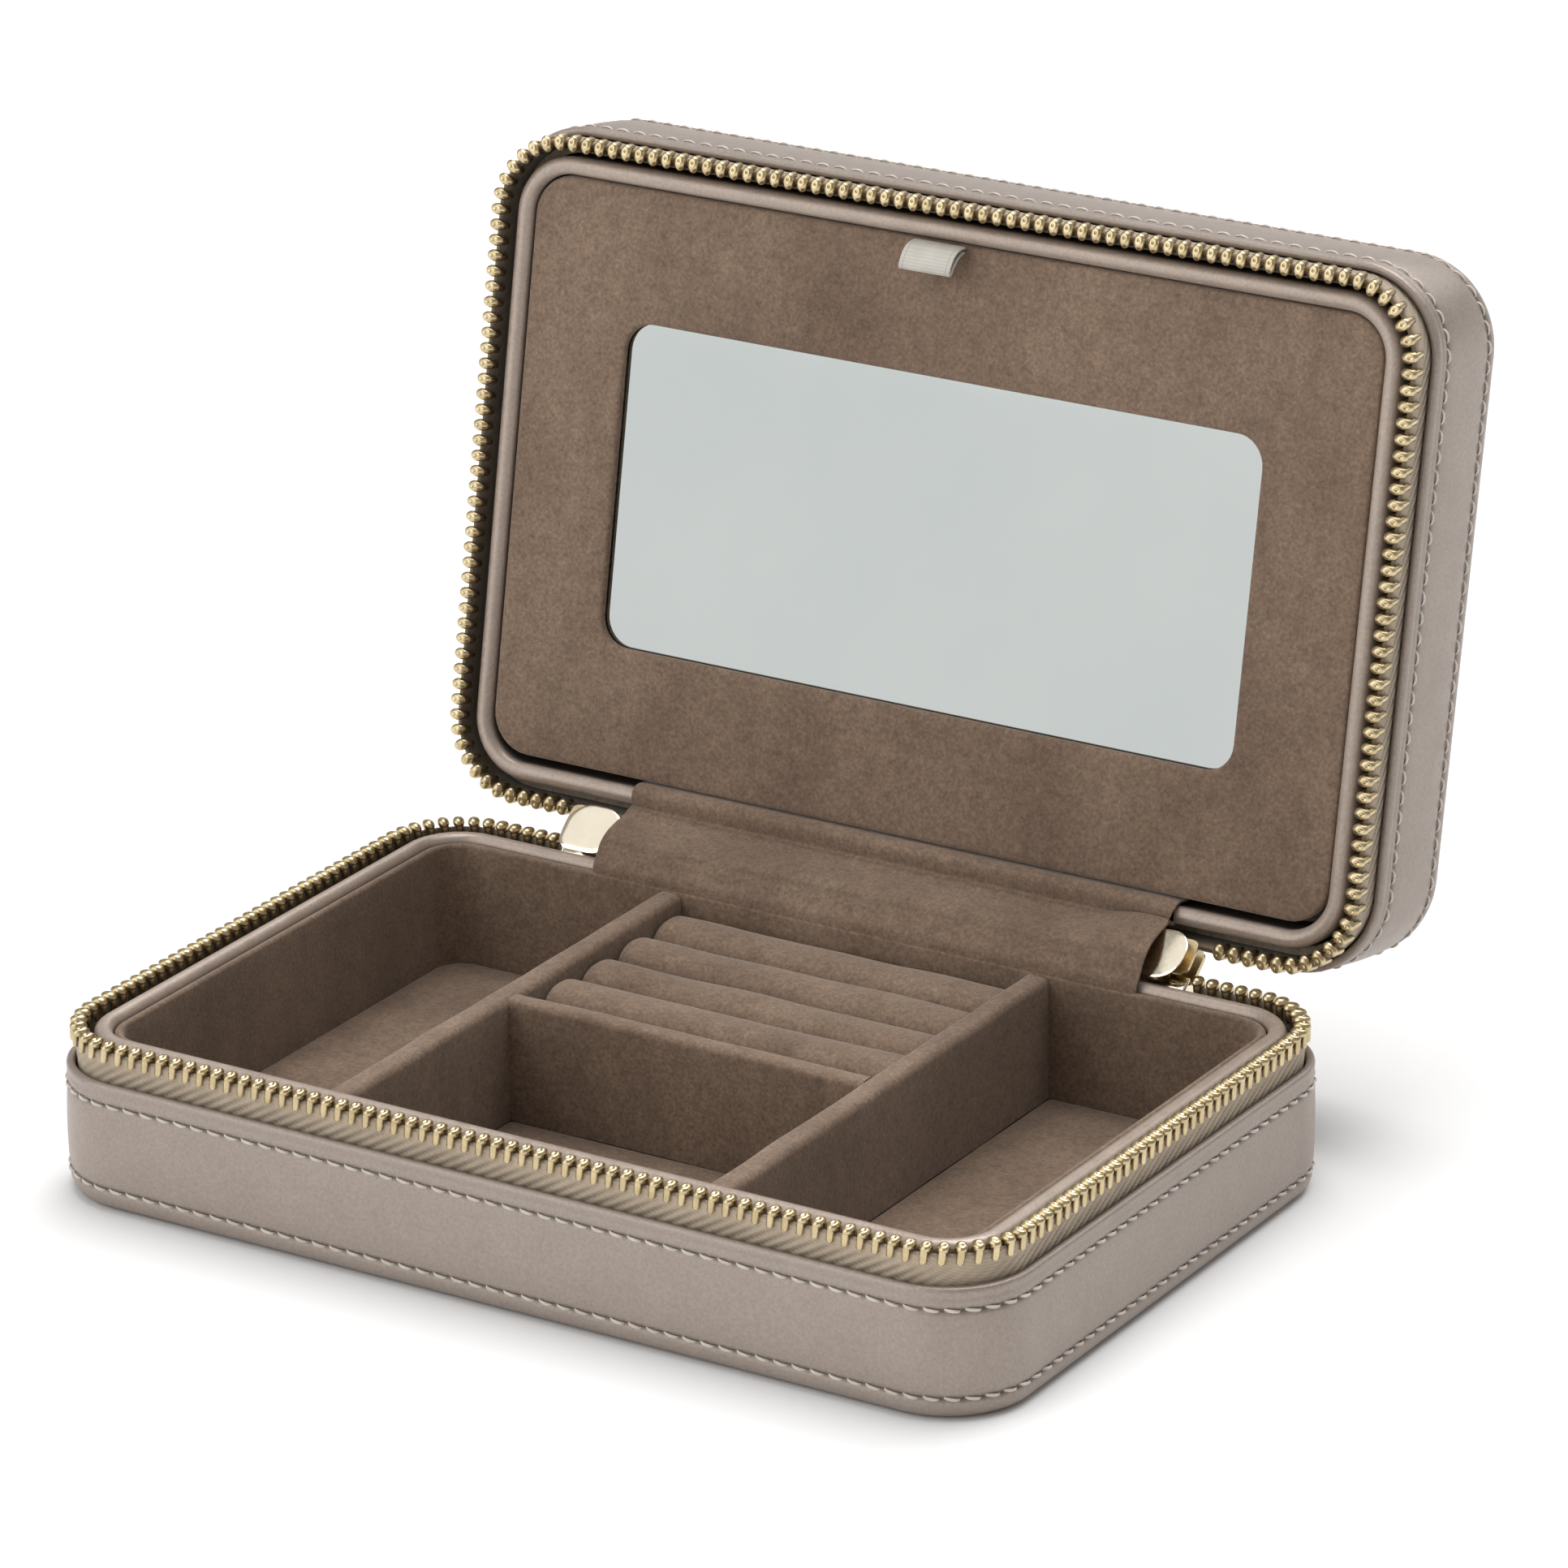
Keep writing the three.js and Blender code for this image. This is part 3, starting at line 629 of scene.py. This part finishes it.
def zip_tape():
    """The tape, with ribs that fade round the corners, and its painted shade between the ribs, under the
    teeth and on its back.
    """
    rings, shade = [], []
    for s in tape_stations():
        point, normal = outline(s)
        cornered = 1 - 0.75 * min(1.0, 2 * abs(normal.x * normal.y))
        beside_slider = normal.y > 0.9 and abs(point.x) < SLIDER_REACH
        top = SLIDER_FOOT if beside_slider else 0.0
        ring = []
        for step, (inset, depth, height) in enumerate(TAPE_FACE):
            depth = max(depth, top + 0.02 * step)
            wave = 0.5 + 0.5 * math.cos(2 * math.pi * (s + RIB_SLANT * depth) / TOOTH_PITCH)
            rib = wave ** 0.6 * height * cornered
            ring.append((*(point - normal * (inset - rib)), depth))
            # painted shade in the valleys between the ribs, and where the tape runs up under the teeth
            shade.append(min(1.0, (1 - wave) ** 1.5 * height * 2.8 * cornered + 0.6 * (depth < 2.3)))
        for inset, depth in TAPE_BACK:
            ring.append((*(point - normal * inset), max(depth, top + 0.1)))
            # painted shade on the tape's back, in the gap behind the teeth
            shade.append(0.9)
        rings.append(ring)
    return loft(rings), shade


def tooth():
    """One tooth that clamps the tape: x runs along the chain, y is the inset and z the depth."""
    dimple = ((0, -0.3, -0.95), 0.42, 0.32)
    head = bead((0.08, 2.0, 1.1), (0.96, 1.34, 0.88), dimple, 14, 16)
    across, out = Vector((1, 0, 0)), Vector((0, 1, 0))
    wide = 0.6
    legs = []
    for inset, thick in ((1.12, 0.42), (2.8, 0.36)):
        rings = []
        for depth, scale in ((1.0, 0.9), (1.7, 1.0), (3.05, 1.0), (3.3, 0.8)):
            centre = Vector((0, inset, depth))
            rings.append(oval(centre, across, out, wide * scale, thick * scale, 10))
        legs.append(loft(rings))
    return merge([head, *legs])


def teeth_row(shift):
    """All the teeth of a half. shift moves them along by a share of the pitch, to mesh with the others."""
    length = perimeter(TOOTH_INSET) - 2 * TEETH_END_X
    count = round(length / TOOTH_PITCH)
    pitch = length / count
    points, faces = tooth()
    teeth = []
    for i in range(count + (0 if shift else 1)):
        point, normal = outline(TEETH_END_X + (i + shift) * pitch, TOOTH_INSET)
        along = Vector((-normal.y, normal.x))
        seated = []
        for x, inset, depth in points:
            shifted = x - TOOTH_LEAN * (depth - 2)
            seated.append((*(point + along * shifted - normal * (inset - TOOTH_INSET)), depth))
        teeth.append((seated, faces))
    return merge(teeth)


def zip_half(half):
    """The tape, teeth and stops of one half."""
    name = half.name
    shape, shade = zip_tape()
    piece(f"{name}_tape", shape, TAPE, name, [f"{name}_zip_tape"], half, shade)
    shift = 0 if half is BASE else 0.5
    piece(f"{name}_teeth", teeth_row(shift), BRASS, name, [f"{name}_zip_teeth"], half)
    for side in ("left", "right"):
        keep_node(f"{name}_{side}_zip_stop", BRASS, 0.25)


# ---- Rims and linings ----
def rim(top, foot):
    """A padded roll that runs down as a wall to its foot, with painted shade that darkens its walls below
    the roll.
    """
    middle = sum(RIM) / 2
    radius = (RIM[1] - RIM[0]) / 2 + 0.06
    profile = [(RIM[0] + 0.1, foot), (RIM[0] + 0.1, top + 3.4), (RIM[0], top + 2.4)]
    for step in range(13):
        angle = math.pi * step / 12
        profile.append((middle - radius * math.cos(angle), top + radius - radius * math.sin(angle)))
    profile += [(RIM[1], top + 2.4), (RIM[1] - 0.1, top + 3.4), (RIM[1] - 0.1, foot)]
    # painted shade: none on the roll's top, growing down its walls into the gaps beside it
    shade = [min(1.0, max(0.0, (depth - top - 0.9) / 2)) for inset, depth in profile]
    return sweep(profile), shade * STATIONS


def lining_wall(outer, inner, top, foot):
    """A thin padded wall with a round top edge that bellies a little into the tray."""
    middle, half = (outer + inner) / 2, (inner - outer) / 2
    profile = [(outer, foot), (outer, top + half)]
    for step in range(1, 7):
        angle = math.pi * step / 6
        profile.append((middle - half * math.cos(angle), top + half - half * math.sin(angle)))
    belly = ((0.06, 0.12), (0.12, 0.3), (0.14, 0.55), (0.1, 0.8), (0.0, 1.0))
    profile += [(inner + out, top + half + share * (foot - top - half)) for out, share in belly]
    return sweep(profile)


def floor_levels(low, high):
    """(inset, z) of a soft pad that lies flat and rounds over at its edges."""
    rise = high - low
    return [(0.2, low), (0, low + 0.3 * rise), (0.02, low + 0.72 * rise), (0.3, low + 0.88 * rise),
            (0.9, low + 0.96 * rise), (2.4, high), (4.5, high)]


# ---- Tray ----
LEFT_DIVIDER = span("left_divider", 0)
RIGHT_DIVIDER = span("right_divider", 0)
CROSS_DIVIDER = span("cross_divider", 1)
DIVIDER_TOP = span("left_divider", 2)[1]
TRAY_REACH = span("left_divider", 1)[1]
FLOOR = HALF - FLOOR_DEPTH
ROLL_START = LEFT_DIVIDER[1] + 0.5
ROLL_SINK = 0.55
FRONT_ROLL_LIFT = 0.5
WALL_X = WIDTH / 2 - LINER[1]
WALL_Y = DEPTH / 2 - LINER[1]
ROLL_HALF_WIDTH = 5.16


def wobble(point, size, amount):
    """A small smooth shift, so that cloth edges aren't dead straight."""
    shift = noise.noise_vector(Vector(point) / size)
    return Vector(point) + shift * amount


def divider_section(thick, bottom, top):
    """A padded partition's outline: straight sides that round over into a nearly flat top."""
    half, radius = thick / 2, 1.15
    ring = [(-half, bottom), (half, bottom), (half, top - 5)]
    for step in range(6):
        angle = math.pi / 2 * step / 5
        ring.append((half - radius + radius * math.cos(angle), top - radius + radius * math.sin(angle)))
    for step in range(6):
        angle = math.pi / 2 * (1 + step / 5)
        ring.append((radius - half + radius * math.cos(angle), top - radius + radius * math.sin(angle)))
    ring.append((-half, top - 5))
    return ring


def partition(middle, reach, along_x, thick):
    """A padded partition that runs along x or y, from reach[0] to reach[1]."""
    steps = 30
    rings = []
    for i in range(steps + 1):
        at = reach[0] + (reach[1] - reach[0]) * i / steps
        ring = []
        for across, z in divider_section(thick, FLOOR + 0.3, DIVIDER_TOP):
            point = (at, middle + across, z) if along_x else (middle + across, at, z)
            ring.append(wobble(point, 9, 0.14))
        rings.append(ring)
    return loft(rings)


def ring_roll(x, y, z, half_width, half_height):
    """A stuffed bar with rounded ends and a slightly flattened top."""
    left_end = ((0, 1.5), (0.1, 0.8), (0.35, 0.35), (0.8, 0.1), (1.5, 0.0))
    stations = [(x[0] + out, shrink) for out, shrink in left_end]
    stations += [(x[0] + 1.5 + (x[1] - x[0] - 2.5) * i / 24, 0.0) for i in range(1, 25)]
    stations += [(x[1] - 0.4, 0.15), (x[1], 0.6)]
    rings = []
    for at, shrink in stations:
        ring = []
        for step in range(28):
            angle = 2 * math.pi * step / 28
            c, s = math.cos(angle), math.sin(angle)
            across = math.copysign(abs(c) ** 0.86, c) * (half_width - shrink)
            up = math.copysign(abs(s) ** 0.82, s) * (half_height - shrink)
            ring.append(wobble((at, y + across, z + up), 12, 0.22))
        rings.append(ring)
    return loft(rings)


def base_suede(name, shape, node):
    """A padded suede piece of the base."""
    piece(name, shape, SUEDE, "base", [node])


def tray_walls():
    shape, shade = rim(HALF - span("tray_rim", 2)[1], WALL_FOOT)
    piece("tray_rim_roll", shape, RIM_LEATHER, "base", ["tray_rim"], BASE, shade)
    liner = lining_wall(*LINER, HALF - span("tray_liner", 2)[1], FLOOR_DEPTH - 0.1)
    piece("tray_lining", liner, SUEDE, "base", ["tray_liner"], BASE)


def floor_pads():
    """One pad in each compartment, and one under the ring rolls' bed."""
    round_left, round_right = (5.0, 0.9, 0.9, 5.0), (0.9, 5.0, 5.0, 0.9)
    floors = {
        "left": ((-WALL_X, LEFT_DIVIDER[0]), (-WALL_Y, WALL_Y), round_left),
        "right": ((RIGHT_DIVIDER[1], WALL_X), (-WALL_Y, WALL_Y), round_right),
        "front": ((LEFT_DIVIDER[1], RIGHT_DIVIDER[0]), (-WALL_Y, CROSS_DIVIDER[0]), (0.9,) * 4),
        "back": ((LEFT_DIVIDER[1], RIGHT_DIVIDER[0]), (CROSS_DIVIDER[1], WALL_Y), (0.9,) * 4),
    }
    for side, (x, y, radii) in floors.items():
        shape = pad(x, y, radii, floor_levels(FLOOR - 0.7, FLOOR + 0.5))
        base_suede(f"{side}_floor_pad", shape, "tray_floor_pad")


def partitions():
    for side, x in (("left", LEFT_DIVIDER), ("right", RIGHT_DIVIDER)):
        shape = partition(sum(x) / 2, (-TRAY_REACH - 0.2, TRAY_REACH + 0.2), False, x[1] - x[0])
        base_suede(f"{side}_partition", shape, f"{side}_divider")
    thick = CROSS_DIVIDER[1] - CROSS_DIVIDER[0]
    reach = (LEFT_DIVIDER[1] - 0.4, RIGHT_DIVIDER[0] + 0.4)
    base_suede("cross_partition", partition(sum(CROSS_DIVIDER) / 2, reach, True, thick), "cross_divider")


def ring_rolls():
    bed_x, bed_y, bed_z = (span("ring_roll_bed", axis) for axis in range(3))
    bed = pad(bed_x, bed_y, (0.6,) * 4, floor_levels(bed_z[0] + 0.7, bed_z[1]))
    piece("roll_bed", bed, SUEDE, "base", ["ring_roll_bed"])
    for i in range(4):
        node = f"ring_roll_{i + 1}"
        y, z = span(node, 1), span(node, 2)
        lift = FRONT_ROLL_LIFT if i == 0 else 0
        centre = (sum(y) / 2, sum(z) / 2 - ROLL_SINK + lift)
        shape = ring_roll((ROLL_START, RIGHT_DIVIDER[0] - 0.1), *centre, ROLL_HALF_WIDTH, (z[1] - z[0]) / 2)
        base_suede(f"stuffed_roll_{i + 1}", shape, node)


# ---- Lid lining, pocket and catch ----
def lid_y(height):
    """Where a height above the lid's hinge edge lies along the shut case."""
    return DEPTH / 2 - height


LID_RIM_TOP = 2.2
POCKET_WALL = (7.4, 8.2, 9.6, 22.9)  # outer and inner inset, top and foot
POCKET_BACK = (  # (inset, depth)
    (8.6, WALL_FOOT), (8.4, 23.5), (8.4, 23.2), (8.8, 22.85), (9.6, 22.65), (11.5, 22.5), (13.3, 22.5),
)
LEDGE_X = (-60, 60)
LEDGE_HEIGHTS = (97, 100.2)
LEDGE_LEVELS = ((0.4, 12.6), (0, 12.2), (0, 10.0), (0.4, 9.6))


def lid_pocket():
    shape, shade = rim(LID_RIM_TOP, WALL_FOOT)
    piece("lid_rim_roll", shape, RIM_LEATHER, "lid", ["lid_rim"], LID, shade)
    piece("pocket_lining", lining_wall(*POCKET_WALL), SUEDE, "lid", ["lid_pocket_liner"], LID)
    piece("pocket_back_pad", plate(POCKET_BACK), SUEDE, "lid", ["lid_pocket_back"], LID)
    ledge = pad(LEDGE_X, (lid_y(LEDGE_HEIGHTS[1]), lid_y(LEDGE_HEIGHTS[0])), (0.5,) * 4, LEDGE_LEVELS)
    piece("covered_catch_ledge", ledge, SUEDE, "lid", ["catch_ledge"], LID)
    for side in ("left", "right"):
        keep_node(f"{side}_catch_magnet", NICKEL, 0.12)


# ---- Mirror panel ----
PANEL_X = (-WIDTH / 2 + 7.4, WIDTH / 2 - 7.4)
PANEL_HEIGHTS = (8.4, 101.6)
PANEL_CORNER = 6.6
PANEL_EASE = ((0.25, 4.4), (0.0, 4.15), (0.0, 3.9), (0.12, 3.55), (0.4, 3.3), (0.85, 3.2))
PANEL_BACK = ((0.5, 6.2), (0.1, 6.3), (0.0, 6.6), (0.0, 7.0), (0.15, 7.3), (0.6, 7.4))
PANEL_PUFF = 0.16
WINDOW_X = (-56.6, 56.6)
WINDOW_HEIGHTS = (28.7, 80.5)
WINDOW_CORNER = 4.7
WINDOW_TURN = ((0.8, 3.22), (0.35, 3.3), (0.1, 3.5), (0.0, 3.8), (0.0, 4.4))
CORNER_STEPS = 8


def lid_rect(x, heights, radius, inset):
    """A rounded rectangle in the lid's own plane."""
    y = (lid_y(heights[1]), lid_y(heights[0]))
    return rounded_rect(x, y, (radius,) * 4, inset, CORNER_STEPS)


def with_sides(points, per_side):
    """Adds points along the straight sides, so that big faces can be shaped."""
    count = CORNER_STEPS + 1
    dense = []
    for corner in range(4):
        arc = points[corner * count:(corner + 1) * count]
        following = points[((corner + 1) * count) % len(points)]
        dense += arc
        for i in range(1, per_side):
            t = i / per_side
            dense.append(tuple(a + (b - a) * t for a, b in zip(arc[-1], following)))
    return dense


def panel_front():
    """Suede over board: turned round its outer edge and the mirror's window, a little puffed between."""
    steps = 12
    outer, inner = [], []
    for inset, depth in PANEL_EASE:
        edge = lid_rect(PANEL_X, PANEL_HEIGHTS, PANEL_CORNER, inset)
        outer.append([(x, y, depth) for x, y in with_sides(edge, steps)])
    for grow, depth in WINDOW_TURN:
        window = lid_rect(WINDOW_X, WINDOW_HEIGHTS, WINDOW_CORNER, -grow)
        inner.append([(x, y, depth) for x, y in with_sides(window, steps)])
    between = []
    for step in range(1, steps):
        t = step / steps
        lift = PANEL_PUFF * math.sin(math.pi * t)
        between.append([
            (a[0] + (b[0] - a[0]) * t, a[1] + (b[1] - a[1]) * t, a[2] + (b[2] - a[2]) * t - lift)
            for a, b in zip(outer[-1], inner[0])
        ])
    return loft([*outer, *between, *inner], closed=True)


RIBBON_ROOT = (101.0, 2.6)  # height and depth
RIBBON_PATH = (  # (up, forward) from the root
    (0.25, 0), (0.1, 1.0), (-0.25, 2.1), (-1.2, 3.3), (-2.6, 4.05), (-3.5, 4.25), (-3.75, 3.95),
    (-3.45, 3.5), (-2.5, 2.9), (-1.4, 1.9), (-0.8, 1.0), (-0.5, 0.1),
)
RIBBON_X = -1.5
RIBBON_HALF = 4.5
RIBBON_THICK = 0.34
SELVEDGE = 0.16  # how much thinner the ribbon is along its woven edge
RIBBON_EDGE = (  # (distance from the edge, how much thinner)
    (0, 0.5), (0.12, 0), (0.55, 0), (0.7, SELVEDGE), (0.85, 0), (3.0, 0),
)


def ribbon_tab():
    """A folded loop of ribbon: out of the gap over the panel, forward, down, and back under itself."""
    height, root_depth = RIBBON_ROOT
    line = curve_through([(lid_y(height + up), root_depth - forward) for up, forward in RIBBON_PATH], 4)
    section = strip_section(line, RIBBON_THICK)
    stations = [(-RIBBON_HALF + away, thin) for away, thin in RIBBON_EDGE]
    stations += [(RIBBON_HALF - away, thin) for away, thin in reversed(RIBBON_EDGE)]
    rings, shade = [], []
    for x, thin in stations:
        ring = []
        for point, other in zip(section, reversed(section)):
            y, depth = point + (other - point) * thin * 0.5
            ring.append((RIBBON_X + x, y, depth))
            # painted shade in the thinned groove along each woven edge
            shade.append(1.0 if thin == SELVEDGE else 0.0)
        rings.append(ring)
    return loft(rings), shade


def mirror_panel():
    body = "mirror_panel"
    front = piece("panel_suede_front", panel_front(), SUEDE, body, ["mirror_panel_front"], LID)
    keep_node("mirror_glass", MIRROR)
    keep_node("mirror_panel_spacer", BOARD)
    rings = []
    for inset, depth in PANEL_BACK:
        rings.append([(x, y, depth) for x, y in lid_rect(PANEL_X, PANEL_HEIGHTS, PANEL_CORNER, inset)])
    piece("panel_suede_back", loft(rings), SUEDE, body, ["mirror_panel_back"], LID)
    keep_node("panel_keeper_plate", STEEL, 0.12)
    shape, shade = ribbon_tab()
    piece("ribbon_loop", shape, RIBBON, "tab", ["ribbon_tab"], LID, shade)


# ---- Hinge strips ----
STRIP_X = (-47.0, 50.5)
STRIP_THICK = 0.6
STRIP_ON_LID = ((7.75, 6.0), (7.78, 3.2), (7.0, 1.72), (5.7, 1.6), (4.5, 1.85))  # (height, depth)
SPINE_HALF = 43.8
SPINE_THICK = 0.6


def lid_point(height, depth):
    """Where (height, depth) of the lid stands in the open case, as (y, z)."""
    return LID.seat((0, lid_y(height), depth)).yz


def clamp(value):
    return max(0.0, min(1.0, value))


def strip_rise(x):
    """How far the strip stands up at x, from 0 to 1: most at its right end, as in the photo."""
    raised = clamp((x - 36) / 10) + 0.35 * clamp((-x - 41) / 4)
    return raised * raised * (3 - 2 * raised) if raised < 1 else 1.0


def strip_line(x):
    """The middle of the strip's section at x, in (y, z): from under the panel, over the rim, to the tray."""
    rise = strip_rise(x)
    sway = 0.22 * noise.noise(Vector((x / 17, 0, 3))) + 0.1 * noise.noise(Vector((x / 5, 0, 9)))
    over_lid_rim = [lid_point(*place) for place in STRIP_ON_LID]
    free = [
        (57.1, 31.2 + 1.5 * rise),
        (55.6, 30.5 + 1.9 * rise + 0.4 * sway),
        (53.2, 30.1 + 1.8 * rise + sway),
        (50.6, 29.55 + 1.3 * rise + sway),
        (48.7 + 0.3 * sway, 28.5 + 0.6 * rise),
        (47.5, 27.0),
    ]
    liner_y = DEPTH / 2 - sum(LINER) / 2 - 0.15
    return curve_through([*over_lid_rim, *free, (liner_y + 0.25, 25.7), (liner_y, 24.2)], 5)


def inner_strip():
    """The suede strip, its painted shade along its two folds, and how long it is laid flat."""
    rows = 44
    rings, shade = [], []
    for i in range(rows + 1):
        share = i / rows
        x = STRIP_X[0] + (STRIP_X[1] - STRIP_X[0]) * share
        line = strip_line(x)
        thick = STRIP_THICK * (0.55 if i in (0, rows) else 1.0)
        section = strip_section(line, thick)
        rings.append([(x, *point) for point in section])
        for j in range(len(section)):
            along = min(j, len(section) - 1 - j) / (len(section) / 2)
            # painted shade along the strip's two folds
            upper_fold_shade = math.exp(-((along - 0.4) / 0.025) ** 2)
            lower_fold_shade = 0.7 * math.exp(-((along - 0.72) / 0.02) ** 2)
            shade.append(0.5 * (upper_fold_shade + lower_fold_shade))
    return loft(rings), shade, length_of(line)


def length_of(line):
    return sum((b - a).length for a, b in zip(line, line[1:]))


def outer_spine():
    """The leather strip behind, its flat size, and where it leaves the base and enters the lid."""
    inset, mouth, buried = 2.0, 5.5, 7.2
    y, top = DEPTH / 2 - inset, HALF - mouth
    enters, end = lid_point(inset, mouth), lid_point(inset, mouth + buried)
    out = (enters - end).normalized()
    bend = enters + out * 3
    line = curve_through([
        (y, top - buried),
        (y, top - buried / 2),
        (y, top),
        (y + 0.05, top + 2.2),
        (0.5 * (y + bend.x), 0.5 * (top + 4 + bend.y)),
        enters + out * 2.2,
        enters,
        (enters + end) * 0.5,
        end,
    ], 5)
    stations = [-SPINE_HALF + 1 + (2 * SPINE_HALF - 2) * i / 20 for i in range(21)]
    stations = [-SPINE_HALF, -SPINE_HALF + 0.15, *stations, SPINE_HALF - 0.15, SPINE_HALF]
    rings = []
    for x in stations:
        thick = SPINE_THICK * (0.5 if abs(x) == SPINE_HALF else 1.0)
        rings.append([(x, *point) for point in strip_section(line, thick)])
    return loft(rings), (2 * SPINE_HALF, length_of(line)), ((y, top), enters)


def hinge_strips():
    """Both strips, built as they stand with the lid open, from where they leave the base to where they reach
    the lid.
    """
    shape, shade, length = inner_strip()
    strip = piece("suede_hinge_strip", shape, SUEDE, None, ["inner_hinge_strip"], None, shade)
    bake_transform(strip)
    flat = ((STRIP_X[1] - STRIP_X[0]) * MM, length * MM)
    shape, flat, ends = outer_spine()
    spine = piece("leather_spine", shape, LEATHER, None, ["outer_spine"])
    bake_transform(spine)
    flat = [side * MM for side in flat]


# ---- Zip ends and hidden pieces ----
SLIDER_X = 51.2
SLIDER_HALF = 4.9
SLIDER_YAW = {"left": 0.0, "right": 10.0}  # the right plate is turned towards the strip
FACE_Z = (-5.1, 3.3)
FACE_CORNERS = (2.2, 3.8, 3.8, 3.8)
FACE_CLEAR = 3.05  # how far in front of the hinge line the plate stands, clear of the tape
FACE_LEVELS = (  # (inset, how far it stands out)
    (0.15, 0), (0, 0.04), (0.06, 0.08), (0.3, 0.14), (0.9, 0.2), (1.8, 0.25), (2.6, 0.28), (3.6, 0.3),
)
LIP_Z = (-4.7, -2.2)
LIP_CORNERS = (0.6, 0.6, 0.3, 0.3)
LIP_LEVELS = ((0.1, -0.15), (0, -0.2), (0, -0.45), (0.12, -0.55))  # (inset, y from the hinge line)


def slider_face(side):
    """The polished cover on a slider's inner plate, clear of the tape behind it."""
    middle = SLIDER_X if side == "right" else -SLIDER_X
    turn = math.radians(SLIDER_YAW[side])
    away = FACE_CLEAR + SLIDER_HALF * math.sin(turn)
    yaw = Matrix.Translation((middle, HINGE.y - away, HINGE.z)) @ Matrix.Rotation(-turn, 4, "Z")
    seat = turned(OPEN / 2) @ yaw
    rings = []
    for inset, rise in FACE_LEVELS:
        points = rounded_rect((-SLIDER_HALF, SLIDER_HALF), FACE_Z, FACE_CORNERS, inset)
        rings.append([seat @ Vector((x, -rise, z)) for x, z in points])
    return merge([loft(rings), slider_lip(middle)])


def slider_lip(middle):
    """The lip below a slider's outer plate, which stands over the end of the base's tape."""
    seat = turned(OPEN / 2) @ Matrix.Translation((middle, HINGE.y, HINGE.z))
    rings = []
    for inset, y in LIP_LEVELS:
        points = rounded_rect((-SLIDER_HALF, SLIDER_HALF), LIP_Z, LIP_CORNERS, inset)
        rings.append([seat @ Vector((x, y, z)) for x, z in points])
    return loft(rings)


def zip_ends():
    for side in ("left", "right"):
        keep_node(f"{side}_slider_body", BRASS, 0.22)
        piece(f"{side}_slider_face", slider_face(side), POLISHED, f"{side}_slider")
        keep_node(f"{side}_pull", POLISHED, 0.2)
        keep_node(f"{side}_pull_pin", STEEL, 0.08)


def boards():
    for half in ("base", "lid"):
        keep_node(f"{half}_stiffener_board", BOARD)
        keep_node(f"{half}_wall_board", BOARD)


# ---- Stage, light and camera ----
def stage_floor():
    reach, level = 40.0, -0.0002  # in metres: it stays just below the case's underside
    mesh = bpy.data.meshes.new("floor")
    corners = ((-reach, -reach), (reach, -reach), (reach, reach), (-reach, reach))
    mesh.from_pydata([(x, y, level) for x, y in corners], [], [(0, 1, 2, 3)])
    look = Finish("pale_floor", Roughness=0.8, Base_Color=(0.87, 0.87, 0.87, 1), Specular_IOR_Level=0.1)
    mesh.materials.append(look.material)
    floor = bpy.data.objects.new("floor", mesh)
    bpy.context.scene.collection.objects.link(floor)


def far_light(name, towards, strength, spread):
    """A distant softbox: spread is the angle it fills, in degrees."""
    light = bpy.data.lights.new(name, "SUN")
    light.energy = strength
    light.angle = math.radians(spread)
    lamp = bpy.data.objects.new(name, light)
    lamp.rotation_euler = Vector(towards).to_track_quat("Z", "Y").to_euler()
    bpy.context.scene.collection.objects.link(lamp)


def lights():
    world = bpy.data.worlds.new("studio")
    world.use_nodes = True
    sky = world.node_tree.nodes["Background"]
    sky.inputs["Color"].default_value = (1.0, 1.0, 1.0, 1)
    sky.inputs["Strength"].default_value = 0.36
    bpy.context.scene.world = world
    far_light("key", (0.0, 0.24, 0.97), 2.2, 44)
    far_light("back", (0.0, 0.75, 0.65), 0.8, 50)
    far_light("fill", (-0.45, -0.8, 0.4), 1.2, 60)
    far_light("card", (-0.36, -0.22, 0.91), 0.27, 44)  # what the left slider's plate reflects
    bpy.context.scene.view_settings.view_transform = "Standard"


def camera():
    """Looks along -back, from a point that is moved a little right and up of the origin's line."""
    level_back = Vector((math.sin(AZIMUTH), -math.cos(AZIMUTH), 0))
    back = level_back * math.cos(ELEVATION) + Vector((0, 0, math.sin(ELEVATION)))
    right = Vector((math.cos(AZIMUTH), math.sin(AZIMUTH), 0))
    up = back.cross(right)
    place = back * DISTANCE + right * AIM_RIGHT + up * AIM_UP
    rolled_right = right * math.cos(ROLL) + up * math.sin(ROLL)
    rolled_up = up * math.cos(ROLL) - right * math.sin(ROLL)
    lens = bpy.data.cameras.new("camera")
    lens.lens = LENS
    lens.sensor_width = 36
    lens.clip_end = 20
    view = bpy.data.objects.new("camera", lens)
    axes = Matrix((rolled_right, rolled_up, back)).transposed().to_4x4()
    view.matrix_world = Matrix.Translation(place) @ axes
    bpy.context.scene.collection.objects.link(view)
    bpy.context.scene.camera = view


# ---- Assembly ----
for part in (BASE, LID):
    leather_shell(part)
    zip_half(part)
tray_walls()
floor_pads()
partitions()
ring_rolls()
lid_pocket()
mirror_panel()
hinge_strips()
zip_ends()
boards()
stage_floor()
lights()
camera()
